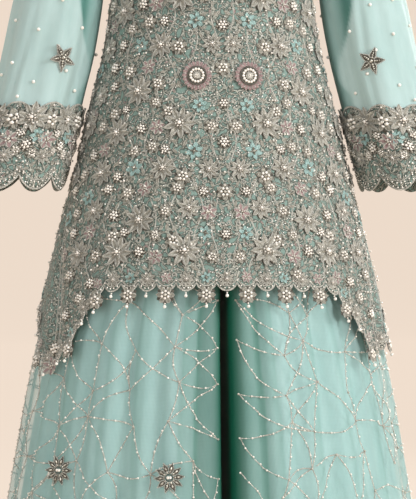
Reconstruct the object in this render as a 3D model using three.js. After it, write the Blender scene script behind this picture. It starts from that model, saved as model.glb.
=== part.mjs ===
import * as THREE from "three";

// A peplum top and gharara trousers in their worn form, open at neck, cuffs, waist and hems, and empty.
// Millimetres, +Z up. The front faces -Y and the wearer's left is +X.
// The origin is midway between the shoulders, level with the two neck points. "down" is a depth below it.

// Rows with named columns
const table = (columns, rows) =>
  rows.map((row) => Object.fromEntries(row.map((value, i) => [columns[i], value])));

// Cloth thicknesses and the clearance between pieces
const NET = 1.0;
const SATIN = 1.0;
const ORGANZA = 1.0;
const EMBROIDERED = 1.5;
const SEAM_GAP = 0.3;
const ORNAMENT_GAP = 0.8;

// The top's lengths
const NECK_FRONT_DOWN = 95;
const NECK_BACK_DOWN = 28;
const NECK_HALF_WIDTH = 78;
const NECK_FRONT_REACH = 92;
const NECK_BACK_REACH = 48;
const EMPIRE_SEAM_DOWN = 262;
const CUP = { across: 84, down: 214, width: 62, height: 66, rise: 16 };

// The trousers' waistband
const WAISTBAND = { top: 372, bottom: 404, halfWidth: 131, halfDepth: 99, thickness: 4 };

// The peplum's outline at each depth: half its width, and its reach to the front and to the back
const PEPLUM_SECTIONS = table(
  ["down", "halfWidth", "front", "back"],
  [
    [262, 154, 128, 113],
    [361, 168, 137, 123],
    [427, 185, 145, 133],
    [480, 198, 152, 142],
    [531, 210, 159, 150],
    [617, 233, 173, 166],
    [680, 249, 184, 178],
    [726, 260, 192, 188],
    [792, 273, 205, 200],
    [870, 292, 216, 210],
  ],
);

// Where the side seams run, in degrees from the centre front: they swing forward to the side points
const SIDE_SEAM = table(
  ["down", "angle"],
  [
    [262, 90],
    [480, 90],
    [560, 87],
    [636, 78],
    [745, 67],
    [870, 62],
  ],
);
const SEAM_GROOVE = { width: 6.5, depth: 8, from: 480 };

// The peplum's hem all round, level in front and behind, with a long point at each side
const PEPLUM_HEM = table(
  ["angle", "down"],
  [
    [-180, 724],
    [-120, 724],
    [-102, 728],
    [-90, 745],
    [-80, 792],
    [-71, 826],
    [-65, 835],
    [-60, 812],
    [-55, 793],
    [-52, 772],
    [-49, 738],
    [-45, 721],
    [-38, 714],
    [0, 712],
    [33, 716],
    [38, 718],
    [45, 738],
    [49, 757],
    [52, 785],
    [56, 808],
    [63, 811],
    [71, 803],
    [80, 784],
    [90, 750],
    [102, 728],
    [120, 724],
    [180, 724],
  ],
);
const SCALLOP = { front: 15, back: 27, depth: 12 };

// Soft troughs that run down the peplum: place, half width and depth, and the depth at which each starts
const PEPLUM_FOLDS = table(
  ["angle", "width", "depth", "from"],
  [
    [-36, 13, 4, 430],
    [-7, 9, 4, 300],
    [20, 12, 3, 480],
    [45, 10, 4, 420],
    [104, 13, 8, 420],
    [131, 11, 9, 380],
    [157, 10, 7, 420],
    [-174, 11, 8, 360],
    [-148, 12, 9, 400],
    [-120, 12, 8, 380],
  ],
);

// One leg's outline at each depth. gap is from the centre line to the inner wall, corner is the rounding
// beside it, reach is how far the inner wall has got to the inseam, shift moves the widest line back,
// fold is the folds' full depth and inset is how far the lining lies inside the net.
const LEG_SECTIONS = table(
  ["down", "halfWidth", "front", "back", "gap", "corner", "reach", "shift", "fold", "inset"],
  [
    [404, 130, 98, 98, 0.2, 0, 0, 0, 0, 1.7],
    [450, 155, 114, 115, 0.2, 0, 0, 0, 3, 6],
    [530, 184, 136, 138, 0.3, 0.5, 0.01, 0, 5, 9],
    [605, 210, 152, 152, 1, 4, 0.12, 0, 6, 10],
    [680, 235, 166, 160, 3, 16, 1, 0, 8, 12],
    [730, 245.5, 176, 164.5, 5, 26, 1, 0, 9, 14],
    [800, 268.3, 190, 189.5, 6, 34, 1, 11, 11, 18],
    [1055, 317, 230, 247, 7, 42, 1, 12, 15, 19],
    [1260, 352, 258, 277, 7, 46, 1, 12, 18, 22],
    [1465, 386, 285, 306, 7, 50, 1, 12, 21, 25],
  ],
);
const LEG_ROWS = [404, 490, 580, 680, 800, 1080, 1465];
const LINING_LENGTH = 1455;
const LINING_ROWS = [404, 490, 580, 680, 800, 1100, LINING_LENGTH];
const LINING_COLUMNS = 11;
const LINING_PLAIN = 0.637;
const WALL_INSET_SHARE = 0.65;
const CROTCH = { from: 540, length: 120 };
const LEG_STAGGER = 0.012;

// The leg's troughs, by place along the section: 0 at the outseam, 1 at the inseam in front, -1 behind
const LEG_FOLDS = table(
  ["at", "width", "depth"],
  [
    [-0.595, 0.042, 0.7],
    [-0.5, 0.044, 1.0],
    [-0.405, 0.04, 0.8],
    [-0.31, 0.044, 1.0],
    [-0.21, 0.044, 0.7],
    [-0.12, 0.04, 0.9],
    [-0.045, 0.034, 0.6],
    [0.045, 0.034, 0.7],
    [0.125, 0.038, 1.0],
    [0.207, 0.042, 0.8],
    [0.305, 0.04, 0.7],
    [0.41, 0.044, 1.0],
    [0.5, 0.04, 0.7],
    [0.595, 0.042, 0.9],
  ],
);
const WALL_COLUMNS = [0.67, 0.7, 0.74, 0.81, 0.88, 0.94, 1];

// The sleeve's rings, by the point under the arm and the point at the outside of the arm
const SLEEVE_RINGS = table(
  ["along", "innerX", "innerDown", "outerX", "outerDown", "halfDepth", "bow", "y", "fold"],
  [
    [0, 158, 175, 188, 36, 62, 12, 0, 0],
    [30, 162, 188, 226, 62, 67, 6, -1, 2],
    [70, 164, 207, 256, 120, 69, 2, -3, 4],
    [130, 166, 238, 283, 200, 70, 0, -6, 6],
    [190, 169, 277, 305, 277, 72, 0, -9, 7],
    [275, 182, 361, 323, 361, 76, 0, -14, 9],
    [342, 198, 427, 338, 427, 79, 0, -18, 9],
    [400, 212, 485, 352, 485, 82, 0, -21, 6],
    [450, 224, 535, 365, 535, 84, 0, -23, 4],
    [500, 238, 585, 374, 585, 86, 0, -25, 4],
  ],
);
const SLEEVE_ROWS = [0, 30, 70, 130, 190, 275, 350, 392];
const SLEEVE_COLUMNS = 32;
const SLEEVE_SHIFT = 0.6;
const SLEEVE_FOLDS = table(
  ["angle", "width", "depth"],
  [
    [28, 22, 0.7],
    [84, 20, 0.6],
    [138, 24, 1.0],
    [214, 26, 0.9],
    [262, 20, 0.6],
    [318, 24, 0.8],
  ],
);
const CUFF = {
  top: 371, rows: [394, 434], bottom: 468, lift: 2.7, lobes: 8, lobeDepth: 22, petals: 8, petalHeight: 12,
};

// Sewn-on ornaments
const ROSETTE = { across: 38.3, down: 408, radius: 22, button: 13, thickness: 1.6, dome: 4 };
const STAR = { angle: 108, along: 293, radius: 20, valley: 7.5, points: 5, thickness: 2.4 };
const LEG_FLOWER = { radius: 21, valley: 13, petals: 10, thickness: 2.6 };
const LEG_FLOWERS = table(
  ["name", "side", "at", "down"],
  [
    ["flower_right_1", -1, 0.245, 988],
    ["flower_right_2", -1, 0.525, 989],
    ["flower_right_3", -1, 0.357, 1290],
    ["flower_left_1", 1, 0.357, 1190],
    ["flower_left_2", 1, 0.548, 1330],
    ["flower_right_4", -1, -0.26, 1100],
    ["flower_right_5", -1, -0.455, 1270],
    ["flower_left_3", 1, -0.26, 1010],
    ["flower_left_4", 1, -0.455, 1180],
  ],
);

const { degToRad, radToDeg, lerp, clamp } = THREE.MathUtils;
const sinDeg = (angle) => Math.sin(degToRad(angle));
const cosDeg = (angle) => Math.cos(degToRad(angle));

// A column of a table at any place along its key, on a smooth curve that never overshoots its rows
function read(table, key, column, place) {
  const last = table.length - 1;
  const at = clamp(place, table[0][key], table[last][key]);
  let i = 0;
  while (i < last - 1 && table[i + 1][key] < at) i += 1;
  const slope = (k) => (table[k + 1][column] - table[k][column]) / (table[k + 1][key] - table[k][key]);
  const tangent = (k) => {
    if (k === 0) return slope(0);
    if (k === last) return slope(last - 1);
    const [before, after] = [slope(k - 1), slope(k)];
    return before * after <= 0 ? 0 : (2 * before * after) / (before + after);
  };
  const step = table[i + 1][key] - table[i][key];
  const t = (at - table[i][key]) / step;
  const [t2, t3] = [t * t, t * t * t];
  return (
    (2 * t3 - 3 * t2 + 1) * table[i][column] +
    (t3 - 2 * t2 + t) * step * tangent(i) +
    (3 * t2 - 2 * t3) * table[i + 1][column] +
    (t3 - t2) * step * tangent(i + 1)
  );
}

// 1 in the middle of a trough and 0 at its rims
const trough = (offset, width) => (1 + Math.cos(Math.PI * clamp(offset / width, -1, 1))) / 2;

// The way round from one angle to another, between -180 and 180 degrees
const turn = (from, to) => ((((to - from + 180) % 360) + 360) % 360) - 180;

// The outside of the embroidered peplum at an angle from the centre front
function peplumPoint(angle, down) {
  const width = read(PEPLUM_SECTIONS, "down", "halfWidth", down);
  const depth = read(PEPLUM_SECTIONS, "down", cosDeg(angle) > 0 ? "front" : "back", down);
  const seam = read(SIDE_SEAM, "down", "angle", down);
  const hem = read(PEPLUM_HEM, "angle", "down", turn(0, angle));
  let dip = 0;
  for (const f of PEPLUM_FOLDS) {
    dip += f.depth * trough(turn(f.angle, angle), f.width) * clamp((down - f.from) / (hem - f.from), 0, 1);
  }
  const groove = clamp((down - SEAM_GROOVE.from) / (hem - SEAM_GROOVE.from), 0, 1) ** 0.7;
  dip += SEAM_GROOVE.depth * groove * trough(Math.abs(turn(0, angle)) - seam, SEAM_GROOVE.width);
  const out = new THREE.Vector2(sinDeg(angle) / width, -cosDeg(angle) / depth).normalize();
  return new THREE.Vector3(width * sinDeg(angle) - dip * out.x, -depth * cosDeg(angle) - dip * out.y, -down);
}

// The armhole, which the sleeve's first ring and the bodice share. 0 degrees is the shoulder, 90 the front
function sleevePoint(angle, along) {
  const column = (name) => read(SLEEVE_RINGS, "along", name, along);
  const [inX, inDown, outX, outDown] = ["innerX", "innerDown", "outerX", "outerDown"].map(column);
  let size = 1;
  for (const f of SLEEVE_FOLDS) {
    size -= (column("fold") / 75) * f.depth * trough(turn(f.angle, angle), f.width);
  }
  const across = size * cosDeg(angle);
  return new THREE.Vector3(
    (inX + outX) / 2 + ((outX - inX) / 2) * across - column("bow") * sinDeg(angle) ** 2,
    column("y") - column("halfDepth") * size * sinDeg(angle),
    -(inDown + outDown) / 2 - ((outDown - inDown) / 2) * across,
  );
}

// The bodice's left half, front or back: across runs from the centre to the side, up from seam to shoulder
function bodicePoint(across, up, back) {
  const UNDERARM = 0.36;
  const NECK_SHARE = 0.42;
  const NECK_ROUNDNESS = 1.1;
  const ring = SLEEVE_RINGS[0];
  const section = PEPLUM_SECTIONS[0];
  const sign = back ? 1 : -1;
  const neckDown = back ? NECK_BACK_DOWN : NECK_FRONT_DOWN;
  const neckReach = back ? NECK_BACK_REACH : NECK_FRONT_REACH;
  const depth = back ? section.back : section.front;
  const seamEdge = (u) =>
    new THREE.Vector3(section.halfWidth * sinDeg(90 * u), sign * depth * cosDeg(90 * u), -EMPIRE_SEAM_DOWN);
  const topEdge = (u) => {
    if (u < NECK_SHARE) {
      const turnTo = (90 * u) / NECK_SHARE;
      const toward = cosDeg(turnTo);
      return new THREE.Vector3(
        NECK_HALF_WIDTH * sinDeg(turnTo), sign * neckReach * toward, -neckDown * toward ** NECK_ROUNDNESS,
      );
    }
    const t = (u - NECK_SHARE) / (1 - NECK_SHARE);
    return new THREE.Vector3(lerp(NECK_HALF_WIDTH, ring.outerX, t), 0, -ring.outerDown * t);
  };
  const sideEdge = (v) => {
    if (v > UNDERARM) {
      const around = 180 * (1 - (v - UNDERARM) / (1 - UNDERARM));
      return sleevePoint(back ? -around : around, 0);
    }
    const t = v / UNDERARM;
    return new THREE.Vector3(
      lerp(section.halfWidth, ring.innerX, t), 0, lerp(-EMPIRE_SEAM_DOWN, -ring.innerDown, t),
    );
  };
  const centreEdge = (v) => {
    const hollow = Math.sin(Math.PI * v) * (back ? 4 : 6);
    const reach = lerp(depth, neckReach, v ** 1.4) + hollow;
    return new THREE.Vector3(0, sign * reach, lerp(-EMPIRE_SEAM_DOWN, -neckDown, v));
  };
  const point = new THREE.Vector3();
  const add = (p, share) => point.addScaledVector(p, share);
  add(seamEdge(across), 1 - up);
  add(topEdge(across), up);
  add(centreEdge(up), 1 - across);
  add(sideEdge(up), across);
  add(seamEdge(0), -(1 - across) * (1 - up));
  add(seamEdge(1), -across * (1 - up));
  add(topEdge(0), -(1 - across) * up);
  add(topEdge(1), -across * up);
  if (!back) {
    const away = ((point.x - CUP.across) / CUP.width) ** 2 + ((point.z + CUP.down) / CUP.height) ** 2;
    const fade = Math.sin(Math.PI * Math.min(1, up / 0.9)) ** 0.5 * (1 - across ** 4);
    point.y -= CUP.rise * Math.exp(-away) * fade;
  }
  return point;
}

// One leg's section as a line of points from the outseam round to the inseam, in front or behind.
// The lining's lies inside the net's
function legSection(down, back, lining) {
  const column = (name) => read(LEG_SECTIONS, "down", name, down);
  const inset = lining ? column("inset") : 0;
  const [corner, shift] = ["corner", "shift"].map(column);
  const width = column("halfWidth") - inset;
  const gap = column("gap") + inset * WALL_INSET_SHARE * clamp((down - CROTCH.from) / CROTCH.length, 0, 1);
  const sign = back ? 1 : -1;
  const depth = (back ? column("back") - shift : column("front") + shift) - inset;
  const inner = Math.asin((gap + corner) / width);
  const points = [];
  const ARC_STEPS = 48;
  for (let i = 0; i <= ARC_STEPS; i += 1) {
    const phi = lerp(Math.PI / 2, inner, i / ARC_STEPS);
    points.push(new THREE.Vector2(width * Math.sin(phi), shift + sign * depth * Math.cos(phi)));
  }
  const edge = points[ARC_STEPS].y;
  for (const t of [22, 45, 68, 90]) {
    points.push(new THREE.Vector2(gap + corner * (1 - sinDeg(t)), edge - sign * corner * (1 - cosDeg(t))));
  }
  const wall = edge - sign * corner;
  for (let i = 1; i <= 8; i += 1) {
    points.push(new THREE.Vector2(gap, lerp(wall, shift, (column("reach") * i) / 8)));
  }
  return points;
}

// The outside of the left leg's net or lining, at a place round its section
function legPoint(at, down, lining) {
  const line = legSection(down, at < 0, lining);
  const lengths = [0];
  for (let i = 1; i < line.length; i += 1) lengths.push(lengths[i - 1] + line[i].distanceTo(line[i - 1]));
  const target = Math.min(Math.abs(at), 1) * lengths[line.length - 1];
  let i = 0;
  while (i < line.length - 2 && lengths[i + 1] < target) i += 1;
  const t = clamp((target - lengths[i]) / Math.max(lengths[i + 1] - lengths[i], 1e-9), 0, 1);
  const place = line[i].clone().lerp(line[i + 1], t);
  const [before, after] = [line[Math.max(i - 1, 0)], line[Math.min(i + 2, line.length - 1)]];
  const along = after.clone().sub(before).normalize();
  const out = at < 0 ? new THREE.Vector2(along.y, -along.x) : new THREE.Vector2(-along.y, along.x);
  if (i < 2) out.set(1, 0);
  let dip = 0;
  for (const f of lining ? [] : LEG_FOLDS) {
    dip += read(LEG_SECTIONS, "down", "fold", down) * f.depth * trough(at - f.at, f.width);
  }
  return new THREE.Vector3(place.x - dip * out.x, place.y - dip * out.y, -down);
}

// The outward direction of a surface at a place, from its neighbours. sense is 1 or -1
function outward(surface, a, b, stepA, stepB, sense) {
  const alongA = surface(a + stepA, b).sub(surface(a - stepA, b));
  const alongB = surface(a, b + stepB).sub(surface(a, b - stepB));
  return alongB.cross(alongA).multiplyScalar(sense).normalize();
}

// A cloth wall from rows of { t, outer, inner }. Neighbouring rows may have different numbers of points
function wallGeometry(rows, closed) {
  const positions = [];
  const index = [];
  const numbered = rows.map((row) => {
    const out = row.map((point) => {
      const first = positions.length / 3;
      positions.push(...point.outer.toArray(), ...point.inner.toArray());
      return { t: point.t, outer: first, inner: first + 1 };
    });
    if (closed && row.length > 1) out.push({ ...out[0], t: 1 });
    return out;
  });
  const quad = (a, b, c, d) => index.push(a, b, c, a, c, d);
  for (let r = 0; r + 1 < numbered.length; r += 1) {
    const [upper, lower] = [numbered[r], numbered[r + 1]];
    let [i, k] = [0, 0];
    while (i + 1 < upper.length || k + 1 < lower.length) {
      const moveUpper = k + 1 === lower.length || (i + 1 < upper.length && upper[i + 1].t <= lower[k + 1].t);
      const next = moveUpper ? upper[i + 1] : lower[k + 1];
      index.push(upper[i].outer, lower[k].outer, next.outer);
      index.push(upper[i].inner, next.inner, lower[k].inner);
      if (moveUpper) i += 1;
      else k += 1;
    }
    if (!closed) {
      const [a, b] = [upper[0], lower[0]];
      const [c, d] = [upper[upper.length - 1], lower[lower.length - 1]];
      quad(b.outer, a.outer, a.inner, b.inner);
      quad(c.outer, d.outer, d.inner, c.inner);
    }
  }
  const [first, last] = [numbered[0], numbered[numbered.length - 1]];
  for (let i = 0; i + 1 < first.length; i += 1) {
    quad(first[i].outer, first[i + 1].outer, first[i + 1].inner, first[i].inner);
  }
  for (let i = 0; i + 1 < last.length; i += 1) {
    quad(last[i + 1].outer, last[i].outer, last[i].inner, last[i + 1].inner);
  }
  const geometry = new THREE.BufferGeometry();
  geometry.setAttribute("position", new THREE.Float32BufferAttribute(positions, 3));
  geometry.setIndex(index);
  if (signedVolume(geometry) < 0) {
    for (let i = 0; i < index.length; i += 3) [index[i + 1], index[i + 2]] = [index[i + 2], index[i + 1]];
    geometry.setIndex(index);
  }
  geometry.computeVertexNormals();
  return geometry;
}

function signedVolume(geometry) {
  const position = geometry.getAttribute("position");
  const [a, b, c] = [new THREE.Vector3(), new THREE.Vector3(), new THREE.Vector3()];
  let volume = 0;
  for (let i = 0; i < geometry.index.count; i += 3) {
    a.fromBufferAttribute(position, geometry.index.getX(i));
    b.fromBufferAttribute(position, geometry.index.getX(i + 1));
    c.fromBufferAttribute(position, geometry.index.getX(i + 2));
    volume += a.dot(b.cross(c)) / 6;
  }
  return volume;
}

const evenly = (count) => Array.from({ length: count + 1 }, (_, i) => i / count);
const mirrored = (point) => new THREE.Vector3(-point.x, point.y, point.z);
const material = (colour, roughness, opacity = 1) =>
  new THREE.MeshStandardMaterial({
    color: colour, roughness, metalness: 0, opacity, transparent: opacity < 1, side: THREE.DoubleSide,
  });

const MATERIALS = {
  embroidery: material(0x93a39a, 0.55),
  organza: material(0xa9cfc8, 0.5, 0.75),
  net: material(0x93c3b9, 0.6, 0.8),
  satin: material(0x8fc4ba, 0.35),
  silver: new THREE.MeshStandardMaterial({ color: 0xb3a796, roughness: 0.35, metalness: 0.7 }),
  rose: material(0xb98a8c, 0.6),
};

const set = new THREE.Group();
set.name = "peplum_gharara_set";

function addPiece(name, geometry, finish) {
  const mesh = new THREE.Mesh(geometry, MATERIALS[finish]);
  mesh.name = name;
  set.add(mesh);
}

// The peplum, front and back, between the two side seams and down to the scalloped hem
function peplumRow(columns, share, back) {
  return evenly(columns).map((t) => {
    const angleAt = (down) => {
      const seam = read(SIDE_SEAM, "down", "angle", down);
      return back ? lerp(seam, 360 - seam, t) : lerp(-seam, seam, t);
    };
    const top = EMPIRE_SEAM_DOWN + SEAM_GAP;
    let down = top;
    for (let pass = 0; pass < 12; pass += 1) {
      down = lerp(top, read(PEPLUM_HEM, "angle", "down", turn(0, angleAt(down))), share);
    }
    const angle = angleAt(down);
    if (share === 1) {
      const count = back ? SCALLOP.back : SCALLOP.front;
      down += SCALLOP.depth * Math.abs(Math.sin(Math.PI * count * t)) ** 0.7;
    }
    const n = outward(peplumPoint, angle, down, 0.4, 3, 1);
    const point = peplumPoint(angle, down);
    const edge = t === 0 ? 1 : t === 1 ? -1 : 0;
    const aside = new THREE.Vector3(cosDeg(angle), sinDeg(angle), 0).multiplyScalar((edge * SEAM_GAP) / 2);
    point.add(aside);
    const inner = point.clone().addScaledVector(n, -EMBROIDERED);
    inner.z = Math.min(inner.z, -top);
    return { t, outer: point, inner };
  });
}

function addPeplum() {
  const SHARES = [0, 0.22, 0.45, 0.66, 0.84, 0.95];
  for (const back of [false, true]) {
    const scallops = back ? SCALLOP.back : SCALLOP.front;
    const columns = back ? scallops + 13 : scallops * 2 + 8;
    const rows = SHARES.map((share) => peplumRow(columns, share, back));
    rows.push(peplumRow(scallops * 4, 1, back));
    addPiece(back ? "peplum_back" : "peplum_front", wallGeometry(rows, false), "embroidery");
  }
}

function addBodice() {
  const ROWS = 8;
  const HALF_COLUMNS = 9;
  for (const back of [false, true]) {
    const sign = back ? 1 : -1;
    const half = (u, v) => bodicePoint(u, v, back);
    const rows = evenly(ROWS).map((up) =>
      evenly(2 * HALF_COLUMNS).map((t) => {
        const across = Math.abs(2 * t - 1);
        const u = clamp(across, 0.004, 0.996);
        const v = clamp(up, 0.004, 0.996);
        const n = outward(half, u, v, 0.003, 0.003, back ? 1 : -1);
        if (across === 0) n.setX(0).normalize();
        const outer = half(across, up);
        const inner = outer.clone().addScaledVector(n, -EMBROIDERED);
        for (const p of [outer, inner]) {
          p.y = sign * Math.max(sign * p.y, SEAM_GAP / 2);
          p.z = Math.max(p.z, -EMPIRE_SEAM_DOWN);
        }
        return t < 0.5 ? { t, outer: mirrored(outer), inner: mirrored(inner) } : { t, outer, inner };
      }),
    );
    addPiece(back ? "bodice_back" : "bodice_front", wallGeometry(rows, false), "embroidery");
  }
}

// A ring of a sleeve or cuff. lift moves it out from the sleeve's surface
function sleeveRow(along, columns, side, thickness, lift, edge = () => 0) {
  const rim = along === 0 ? SLEEVE_SHIFT : 0;
  return evenly(columns).slice(0, -1).map((t) => {
    const place = along + edge(t);
    const n = outward(sleevePoint, 360 * t, Math.max(place, 2), 1, 2, -1);
    const surface = sleevePoint(360 * t, place).add(new THREE.Vector3(rim, 0, 0));
    const outer = surface.clone().addScaledVector(n, lift);
    const inner = surface.clone().addScaledVector(n, lift - thickness);
    if (side > 0) return { t, outer, inner };
    return { t, outer: mirrored(outer), inner: mirrored(inner) };
  });
}

function addSleeves() {
  const petals = (t) => -CUFF.petalHeight * Math.abs(Math.sin(Math.PI * CUFF.petals * t)) ** 1.5;
  const lobes = (t) => CUFF.lobeDepth * Math.abs(Math.sin(Math.PI * CUFF.lobes * t)) ** 0.8;
  for (const [word, side] of [["left", 1], ["right", -1]]) {
    const sleeve = SLEEVE_ROWS.map((along) => sleeveRow(along, SLEEVE_COLUMNS, side, ORGANZA, 0));
    addPiece(`sleeve_${word}`, wallGeometry(sleeve, true), "organza");
    const cuff = [
      sleeveRow(CUFF.top, SLEEVE_COLUMNS, side, EMBROIDERED, CUFF.lift, petals),
      ...CUFF.rows.map((along) => sleeveRow(along, SLEEVE_COLUMNS, side, EMBROIDERED, CUFF.lift)),
      sleeveRow(CUFF.bottom, SLEEVE_COLUMNS, side, EMBROIDERED, CUFF.lift, lobes),
    ];
    addPiece(`cuff_${word}`, wallGeometry(cuff, true), "embroidery");
  }
}

// The columns of a leg panel: five to each trough, and the two seams
function foldColumns(back) {
  const sign = back ? -1 : 1;
  const places = [0, ...WALL_COLUMNS].map((at) => at * sign);
  for (const f of LEG_FOLDS) {
    if (f.at < 0 === back) {
      for (const share of [-1, -0.5, 0, 0.5, 1]) places.push(f.at + share * f.width);
    }
  }
  return places.sort((a, b) => Math.abs(a) - Math.abs(b));
}

function legRow(down, places, side, thickness, inset, top) {
  return places.map((place) => {
    const nudge = side < 0 ? LEG_STAGGER * Math.sin(Math.PI * Math.abs(place)) : 0;
    const at = place + nudge * Math.sign(place);
    const sign = place === 0 ? Math.sign(places[1]) : Math.sign(place);
    const surface = (a, d) => legPoint(a, d, inset);
    const probe = sign * clamp(Math.abs(at), 0.006, 0.994);
    const n = outward(surface, probe, down, 0.004, 2, -1);
    const outer = surface(sign * Math.max(Math.abs(at), 1e-6), down);
    const inner = outer.clone().addScaledVector(n, -thickness);
    const shift = read(LEG_SECTIONS, "down", "shift", down);
    for (const p of [outer, inner]) {
      const beside = Math.max(-sign * (p.y - shift), SEAM_GAP / 2);
      p.y = shift - sign * beside;
      p.x = Math.max(p.x, SEAM_GAP / 2);
      p.z = Math.min(p.z, -top);
    }
    const t = Math.abs(place);
    return side > 0 ? { t, outer, inner } : { t, outer: mirrored(outer), inner: mirrored(inner) };
  });
}

function addLegs() {
  const top = WAISTBAND.bottom + SEAM_GAP;
  for (const [word, side] of [["left", 1], ["right", -1]]) {
    for (const back of [false, true]) {
      const face = back ? "back" : "front";
      const sign = back ? -1 : 1;
      const folds = foldColumns(back);
      const net = LEG_ROWS.map((down) => legRow(down, folds, side, NET, false, top));
      addPiece(`leg_${word}_${face}`, wallGeometry(net, false), "net");
      const plain = evenly(LINING_COLUMNS).map((t) => sign * LINING_PLAIN * t);
      plain.push(...WALL_COLUMNS.map((at) => sign * at));
      const lining = LINING_ROWS.map((down) => legRow(down, plain, side, SATIN, true, top));
      addPiece(`lining_${word}_${face}`, wallGeometry(lining, false), "satin");
    }
  }
}

function addWaistband() {
  const COLUMNS = 32;
  const rows = [WAISTBAND.top, WAISTBAND.bottom].map((down) =>
    evenly(COLUMNS).slice(0, -1).map((t) => {
      const ring = (less) => {
        const [width, depth] = [WAISTBAND.halfWidth - less, WAISTBAND.halfDepth - less];
        return new THREE.Vector3(width * sinDeg(360 * t), -depth * cosDeg(360 * t), -down);
      };
      return { t, outer: ring(0), inner: ring(WAISTBAND.thickness) };
    }),
  );
  addPiece("waistband", wallGeometry(rows, true), "satin");
}

// An ornament that lies on a surface: rings of points round its middle, moved out from the cloth.
// A stiff one is flat
function ornament(place, outline, rings, thickness, dome, columns, stiff = false) {
  const middle = place(0, 0);
  const lay = (angle, share) => {
    const radius = outline(angle) * share;
    const { point, normal } = place(radius * Math.cos(angle), radius * Math.sin(angle));
    if (stiff) point.addScaledVector(normal, point.clone().sub(middle.point).dot(normal) * -1);
    return {
      outer: point.clone().addScaledVector(normal, ORNAMENT_GAP + thickness + dome(share)),
      inner: point.clone().addScaledVector(normal, ORNAMENT_GAP),
    };
  };
  const rows = [[{ t: 0, ...lay(0, 0) }]];
  for (const share of rings) {
    rows.push(evenly(columns).slice(0, -1).map((t) => ({ t, ...lay(2 * Math.PI * t, share) })));
  }
  return wallGeometry(rows, true);
}

// Moves a stiff ornament along its normal until its back is just clear of the cloth behind it
function seat(geometry, normal, cloth) {
  const START = 30;
  const position = geometry.getAttribute("position");
  const inward = normal.clone().negate();
  const ray = new THREE.Raycaster();
  const from = new THREE.Vector3();
  let nearest = Infinity;
  for (let i = 1; i < position.count; i += 2) {
    from.fromBufferAttribute(position, i).addScaledVector(normal, START);
    ray.set(from, inward);
    const hit = ray.intersectObject(cloth)[0];
    if (hit) nearest = Math.min(nearest, hit.distance - START);
  }
  geometry.translate(...inward.multiplyScalar(nearest - ORNAMENT_GAP).toArray());
}

// A place on the cloth, right and up from a middle point, in millimetres. fit is the cloth's scale there
function layOn(surface, a, b, stepA, stepB, sense, flip) {
  const spanA = surface(a + stepA, b).distanceTo(surface(a - stepA, b)) / (2 * stepA);
  const spanB = surface(a, b + stepB).distanceTo(surface(a, b - stepB)) / (2 * stepB);
  return (right, up) => {
    const [atA, atB] = [a + right / spanA, b - up / spanB];
    const point = surface(atA, atB);
    const normal = outward(surface, a, b, stepA, stepB, sense);
    return flip ? { point: mirrored(point), normal: mirrored(normal) } : { point, normal };
  };
}

const petalled = (radius, valley, petals, start = 0) => (angle) =>
  lerp(valley, radius, Math.abs(Math.cos((petals * (angle - start)) / 2)) ** 1.6);

function addOrnaments() {
  const width = read(PEPLUM_SECTIONS, "down", "halfWidth", ROSETTE.down);
  const rosetteAngle = radToDeg(Math.asin(ROSETTE.across / width));
  const flat = () => 0;
  for (const [word, side] of [["left", 1], ["right", -1]]) {
    const onPeplum = layOn(peplumPoint, side * rosetteAngle, ROSETTE.down, 2, 8, 1, false);
    const share = ROSETTE.button / ROSETTE.radius;
    const dome = (s) => (s < share - 0.01 ? ROSETTE.dome : 0);
    const rosette = ornament(
      onPeplum, () => ROSETTE.radius, [share * 0.95, share, 1], ROSETTE.thickness, dome, 20,
    );
    addPiece(`rosette_${word}`, rosette, "rose");
    const onSleeve = layOn(sleevePoint, STAR.angle, STAR.along, 6, 8, -1, side < 0);
    const star = ornament(
      onSleeve, petalled(STAR.radius, STAR.valley, STAR.points, 0.35), [0.5, 1], STAR.thickness, flat, 20,
    );
    addPiece(`star_${word}`, star, "silver");
  }
  for (const f of LEG_FLOWERS) {
    const onLeg = layOn((at, down) => legPoint(at, down, false), f.at, f.down, 0.05, 12, -1, f.side < 0);
    const flower = ornament(
      onLeg, petalled(LEG_FLOWER.radius, LEG_FLOWER.valley, LEG_FLOWER.petals), [0.45, 1],
      LEG_FLOWER.thickness, flat, LEG_FLOWER.petals * 2, true,
    );
    const panel = `leg_${f.side < 0 ? "right" : "left"}_${f.at < 0 ? "back" : "front"}`;
    seat(flower, onLeg(0, 0).normal, set.getObjectByName(panel));
    addPiece(f.name, flower, "silver");
  }
}

addBodice();
addPeplum();
addSleeves();
addWaistband();
addLegs();
addOrnaments();

export default set;
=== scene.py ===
import copy
import math

import bpy
import numpy as np
from mathutils import Matrix, Vector


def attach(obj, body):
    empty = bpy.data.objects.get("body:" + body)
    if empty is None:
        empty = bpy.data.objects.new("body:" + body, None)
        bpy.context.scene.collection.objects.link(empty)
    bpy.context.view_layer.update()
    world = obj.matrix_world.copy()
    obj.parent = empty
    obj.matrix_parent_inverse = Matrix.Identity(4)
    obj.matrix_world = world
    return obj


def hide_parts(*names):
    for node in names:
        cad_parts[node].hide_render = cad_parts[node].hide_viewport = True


# A beaded peplum top with sheer bell sleeves, over wide divided trousers of beaded net on satin.
# Lengths are millimetres until a mesh is made. "down" is a depth below the shoulders, the front faces -Y
# and the set's own left side is +X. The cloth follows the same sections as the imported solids.

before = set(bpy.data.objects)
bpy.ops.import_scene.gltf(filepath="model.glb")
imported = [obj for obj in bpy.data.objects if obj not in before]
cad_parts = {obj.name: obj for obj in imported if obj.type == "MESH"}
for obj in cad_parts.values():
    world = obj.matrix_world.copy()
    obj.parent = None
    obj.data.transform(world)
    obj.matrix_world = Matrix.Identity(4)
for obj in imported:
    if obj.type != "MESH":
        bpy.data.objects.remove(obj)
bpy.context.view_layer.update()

# A millimetre in metres, and the thickness of embroidered net and of the folded waistband
MM = 0.001
EMBROIDERED = 1.3
FOLDED = 3.5


# The garment's sections


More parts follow.
